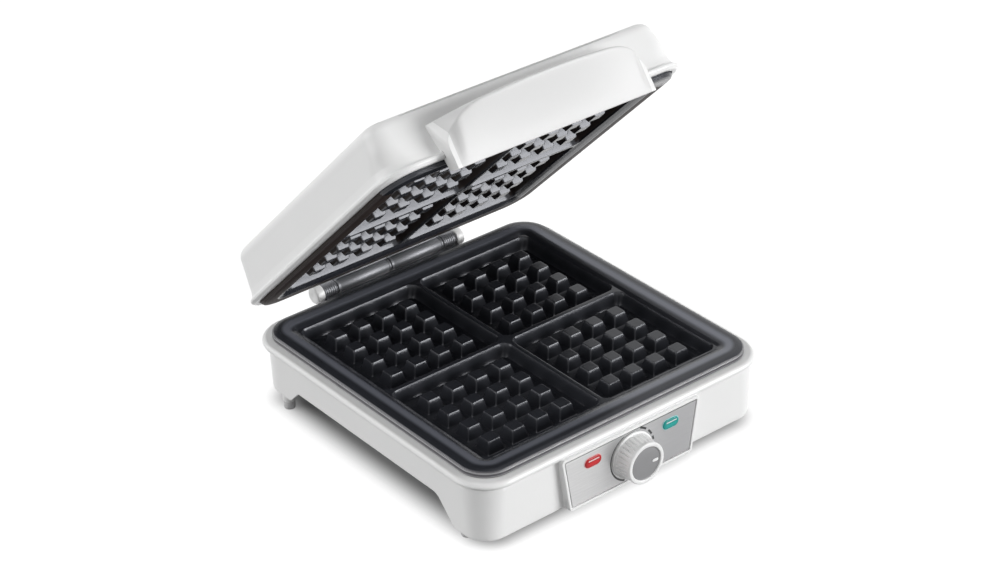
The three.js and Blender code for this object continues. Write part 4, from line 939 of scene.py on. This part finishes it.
skirt_profile = [
    (2.0, 0.55), (19.6, 0.55), (20.3, 0.65), (20.5, 1.0), (20.5, 1.8), (20.25, 2.2), (19.5, 2.35), (19.2, 2.5),
    (19.15, 2.9), (19.1, 3.3), (19.0, 4.1), (18.6, 7.0), (18.2, 10.0), (17.7, 13.0), (17.45, 14.9),
    (17.4, 15.15), (17.55, 15.35), (17.95, 15.55), (18.1, 15.9), (18.1, 16.9), (17.9, 17.5), (17.4, 17.85),
    (16.8, 17.9), (15.4, 17.9), (14.9, 17.75), (14.6, 17.4), (14.5, 16.2)]
disc_profile = [
    (3.0, 16.3), (14.45, 16.3), (14.45, 16.75), (14.2, 17.0), (13.6, 17.02), (13.4, 16.95), (13.1, 17.02),
    (6, 17.05), (0.5, 17.05)]
make("dial_body", [lathe(skirt_profile, 300, groove)], DIAL, white_plastic, "knob",
     ["knob_skirt"], 50.0)
make("dial_disc", [lathe(disc_profile, 96)], DIAL, disc_grey, "knob", ["knob_disc"], 30.0)

pointer_outline = rounded([(6.4, -1.15), (12.5, -1.15), (12.5, 1.15), (6.4, 1.15)], 1.1, 6)
middle = Vector((9.45, 0))
pointer_rings = []
for size, height in ((1.0, 17.0), (1.0, 17.3), (0.93, 17.45), (0.75, 17.5)):
    shrunk = [middle + (p - middle) * size for p in pointer_outline]
    pointer_rings.append([Vector((p.x, p.y, height)) for p in shrunk])
make("dial_pointer", [skin(pointer_rings, cap_first=True, cap_last=True)],
     DIAL @ Matrix.Rotation(math.radians(POINTER_TURN), 4, "Z"), white_plastic, "knob",
     ["knob_pointer"], 50.0)

# %% [markdown]
# ## The hinge
# Two long barrels belong to the lid and two short ridged knuckles to the base, all on one pin with white caps
# at its ends. Lathed profiles give the grooves, and each metal leaf is a bent plate that reaches the pin.

# %% Hinge
PIN = Matrix.Translation(hinge_at) @ Matrix.Rotation(math.pi / 2, 4, "Y")
BARREL_START, BARREL_END, KNUCKLE_START, KNUCKLE_END = 0.3, 55.9, 56.6, 70.0
PLATE_END = 56.5
LEAF_FRONT, LEAF_BACK, LEAF_TIP = 149.5, 152.0, 33
RIDGES = 6


def barrel(start, end, ridges):
    """A barrel along the pin: with ridges all along, or smooth with one groove near each end."""
    sign = 1 if end > start else -1
    length = abs(end - start)
    if ridges:
        grooves, depth = [1.6 + k * (length - 3.2) / (RIDGES - 1) for k in range(RIDGES)], 6.15
    else:
        grooves, depth = [2.6, length - 2.6], 6.3
    profile = [(2.6, 0.0), (6.1, 0.0), (6.6, 0.45)]
    for at in grooves:
        profile += [(6.65, at - 0.8), (depth, at - 0.35), (depth, at + 0.35), (6.65, at + 0.8)]
    profile += [(6.6, length - 0.45), (6.1, length), (2.6, length)]
    return lathe([(radius, start + sign * height) for radius, height in profile], 56)


def slab(outline, low, high):
    """A plate with an outline across X, its ends drawn in a little."""
    centre = sum(outline, Vector((0, 0))) / len(outline)
    rows = []
    for x, size in ((low, 0.96), (low + 0.4, 1.0), (high - 0.4, 1.0), (high, 0.96)):
        drawn_in = [centre + (p - centre) * size for p in outline]
        rows.append([Vector((x, p.x, p.y)) for p in drawn_in])
    return skin(rows, cap_first=True, cap_last=True)


def hinge_outline(corners, sign, radius):
    """A closed outline from corners of (y, height over or under the pin)."""
    return rounded([(y, HINGE_Z + sign * height) for y, height in corners], radius, 3)


def leaf_outline(sign):
    """A leaf that stands against the casing and bends in to the pin."""
    corners = [
        (LEAF_FRONT, LEAF_TIP), (LEAF_BACK, LEAF_TIP), (LEAF_BACK, 19.5), (HINGE_Y + 3.3, 3.3),
        (HINGE_Y - 3.3, 3.3), (LEAF_FRONT, 17.5)]
    return hinge_outline(corners, sign, 0.8)


def plate_outline(sign):
    """The flat part between the base's two leaves, which stops short of the lid's barrels."""
    corners = [(LEAF_FRONT, LEAF_TIP), (LEAF_BACK, LEAF_TIP), (LEAF_BACK, 15), (LEAF_FRONT, 15)]
    return hinge_outline(corners, sign, 0.6)


def turned_barrel(start, end, ridges, place):
    points, faces = barrel(start, end, ridges)
    inverse = place.inverted() @ PIN
    return [inverse @ point for point in points], faces


def hinge_half(start, end, ridges, leaf_sign, place):
    """Both barrels and both leaves of one half of the hinge."""
    barrels = [turned_barrel(sign * start, sign * end, ridges, place) for sign in (-1, 1)]
    leaves = [slab(leaf_outline(leaf_sign), low, high) for low, high in ((-end, -start), (start, end))]
    return barrels + leaves


lid_hinge = hinge_half(BARREL_START, BARREL_END, False, 1, LID)
make("hinge_lid_side", lid_hinge, LID, hinge_metal, "lid", ["hinge_lid_leaf"], 40.0)
base_hinge = hinge_half(KNUCKLE_START, KNUCKLE_END, True, -1, BASE)
base_hinge.append(slab(plate_outline(-1), -PLATE_END, PLATE_END))
dark_bar = rounded([(145.4, -5.7), (152.2, -5.7), (152.2, -4.6), (145.4, -4.6)], 0.4, 3)
base_hinge.append(slab(dark_bar, -KNUCKLE_END, KNUCKLE_END))
make("hinge_base_side", base_hinge, BASE, hinge_metal, "base", ["hinge_base_leaf"], 40.0)

cap = [
    (1.0, 70.7), (7.2, 70.7), (7.6, 71.1), (7.75, 71.8), (7.75, 76.6), (7.5, 77.5), (6.9, 78.2), (6.0, 78.35),
    (2.2, 78.35), (1.8, 78.1), (0.4, 78.1)]
for side, sign in (("left", -1), ("right", 1)):
    turned = lathe([(radius, sign * x) for radius, x in cap], 56)
    make(f"hinge_end_{side}", [turned], PIN, white_plastic, "base",
         [f"hinge_cap_{side}"], 40.0)

# %% [markdown]
# ## Feet
# Under each leg stands a soft grey foot on a post. The casing stops higher at the rear, and the posts show.

# %% Feet and posts
FOOT_X, FRONT_FOOT_Y, REAR_FOOT_Y = 136.6, -118.0, 117.4
foot = [(0.5, 0.0), (3.9, 0.0), (4.5, 0.25), (4.8, 0.9), (4.8, 6.2), (4.6, 6.9), (4.1, 7.3), (0.5, 7.3)]
post = [(0.5, 7.4), (5.0, 7.4), (5.4, 7.7), (5.6, 8.3), (5.8, 20.0), (5.8, 26.0), (0.5, 26.0)]
for depth, y in (("front", FRONT_FOOT_Y), ("rear", REAR_FOOT_Y)):
    for side, x in (("left", -FOOT_X), ("right", FOOT_X)):
        under_leg = Matrix.Translation((x, y, TABLE))
        make(f"foot_{depth}_{side}", [lathe(foot, 40)], under_leg, foot_rubber, "base",
             [f"rubber_foot_{depth}_{side}"], 40.0)
        if depth == "rear":
            make(f"foot_post_{side}", [lathe(post, 40)], under_leg, white_plastic, "base")

# %% [markdown]
# ## The rest of the pieces
# What is left is seen from below or behind, or lies inside: the cover, the screws, the wiring and the heaters.
# Those solids are shown as they are and take the finish named like their material slot. Blender renames a
# material when its name is taken, so the finishes are looked up by the name asked for.

# %% Finishes for the carried nodes
slots = {entry["node"]: entry["material_slot"] for entry in frame["record"]["subparts"]}
carried = [name for name, solid in frame["nodes"].items() if not solid.hide_render]
for name in carried:
    solid = frame["nodes"][name]
    finish = Finish.made.get(slots[name], white_plastic)
    if not solid.data.materials:
        solid.data.materials.append(finish.material)
    for k in range(len(solid.material_slots)):
        solid.material_slots[k].material = finish.material
print("dressed:", len(carried))

# %% [markdown]
# ## Camera
# The camera stands where the photograph's did, left of the front and well above the plates, and it leans by
# one and a half degrees.

# %% Camera
azimuth, pitch, tilt = math.radians(38.43), math.radians(30.68), math.radians(-1.48)
camera_at, focal_length, sensor_width = (-1.1131, -1.3971, 1.1658), 93.24, 36.0
look = Vector((math.sin(azimuth) * math.cos(pitch), math.cos(azimuth) * math.cos(pitch), -math.sin(pitch)))
right = Vector((math.cos(azimuth), -math.sin(azimuth), 0))
up = right.cross(look)
side = right * math.cos(tilt) + up * math.sin(tilt)
top = up * math.cos(tilt) - right * math.sin(tilt)
camera = bpy.data.objects.new("camera", bpy.data.cameras.new("camera"))
camera.data.sensor_width = sensor_width
camera.data.lens = focal_length
rows = [(side[k], top[k], -look[k], camera_at[k]) for k in range(3)]
camera.matrix_world = Matrix((*rows, (0, 0, 0, 1)))
scene = bpy.context.scene
scene.collection.objects.link(camera)
scene.camera = camera
print("camera at", camera_at)

# %% [markdown]
# ## Light
# The light is a bright studio: an even dome and three very wide lamps, from the front, from behind on the left
# and from above. Camera, glossy and transmission rays see the dome as plain white, so the background is white
# and the plates mirror a bright room, while the dome itself adds only a little light.

# %% Dome and lamps
scene.view_settings.view_transform = "Standard"
DOME = 0.28
world = bpy.data.worlds.new("room")
scene.world = world
world.use_nodes = True
room = world.node_tree
rays = room.nodes.new("ShaderNodeLightPath")
seen = rays.outputs["Is Camera Ray"]
for kind in ("Is Glossy Ray", "Is Transmission Ray"):
    either = room.nodes.new("ShaderNodeMath")
    either.operation = "MAXIMUM"
    room.links.new(seen, either.inputs[0])
    room.links.new(rays.outputs[kind], either.inputs[1])
    seen = either.outputs[0]
strength = room.nodes.new("ShaderNodeMapRange")
strength.inputs["To Min"].default_value = DOME
strength.inputs["To Max"].default_value = 1.0
room.links.new(seen, strength.inputs["Value"])
backdrop = room.nodes["Background"]
backdrop.inputs["Color"].default_value = (1, 1, 1, 1)
room.links.new(strength.outputs["Result"], backdrop.inputs["Strength"])

lamps = [
    ("front_lamp", (0.6, -0.79, 0.12), 3.6, 40),
    ("left_lamp", (-0.77, 0.58, 0.27), 1.6, 60),
    ("top_lamp", (-0.6, -0.15, 0.79), 0.45, 60),
]
for name, towards, energy, width in lamps:
    lamp = bpy.data.objects.new(name, bpy.data.lights.new(name, "SUN"))
    lamp.data.energy = energy
    lamp.data.angle = math.radians(width)
    lamp.rotation_mode = "QUATERNION"
    lamp.rotation_quaternion = Vector(towards).to_track_quat("Z", "Y")
    scene.collection.objects.link(lamp)
print("lamps:", [name for name, *_ in lamps])

# %% [markdown]
# ## Floor
# The floor is pale paper just under the feet. Away from the object it glows white, for the camera and for
# mirrors only, so its edge doesn't show. Under the object it doesn't glow, and the soft shadow stays.

# %% Floor
FLOOR_HALF, FLOOR_Z = 6.0, (TABLE - 0.1) * MM
CALM_X, CALM_Y, SHADOW_EDGE, SHADOW_END = 118.0, 124.0, 4.0, 36.0
corners = [(x * FLOOR_HALF, y * FLOOR_HALF, FLOOR_Z) for x, y in ((-1, -1), (1, -1), (1, 1), (-1, 1))]
floor_mesh = bpy.data.meshes.new("floor")
floor_mesh.from_pydata(corners, [], [(0, 1, 2, 3)])
floor = bpy.data.objects.new("floor", floor_mesh)
scene.collection.objects.link(floor)
paper = Finish("floor_paper", roughness=0.9, specular_ior_level=0.0)
open_floor = paper.fade(paper.beyond(CALM_X, CALM_Y), SHADOW_EDGE * MM, SHADOW_END * MM)
seen_share = paper.node("LightPath", output=0)
mirror_share = paper.node("LightPath", output=3)
fibres = paper.noise(700.0)
paper.surface(
    base_color=paper.mix(fibres, (0.34, 0.34, 0.34), (0.36, 0.36, 0.36)),
    emission_color=paper.mix((seen_share + mirror_share) * open_floor, (0, 0, 0), (0.85, 0.85, 0.85)),
    emission_strength=1.0,
)
floor_mesh.materials.append(paper.material)
print("floor at", round(FLOOR_Z, 4))
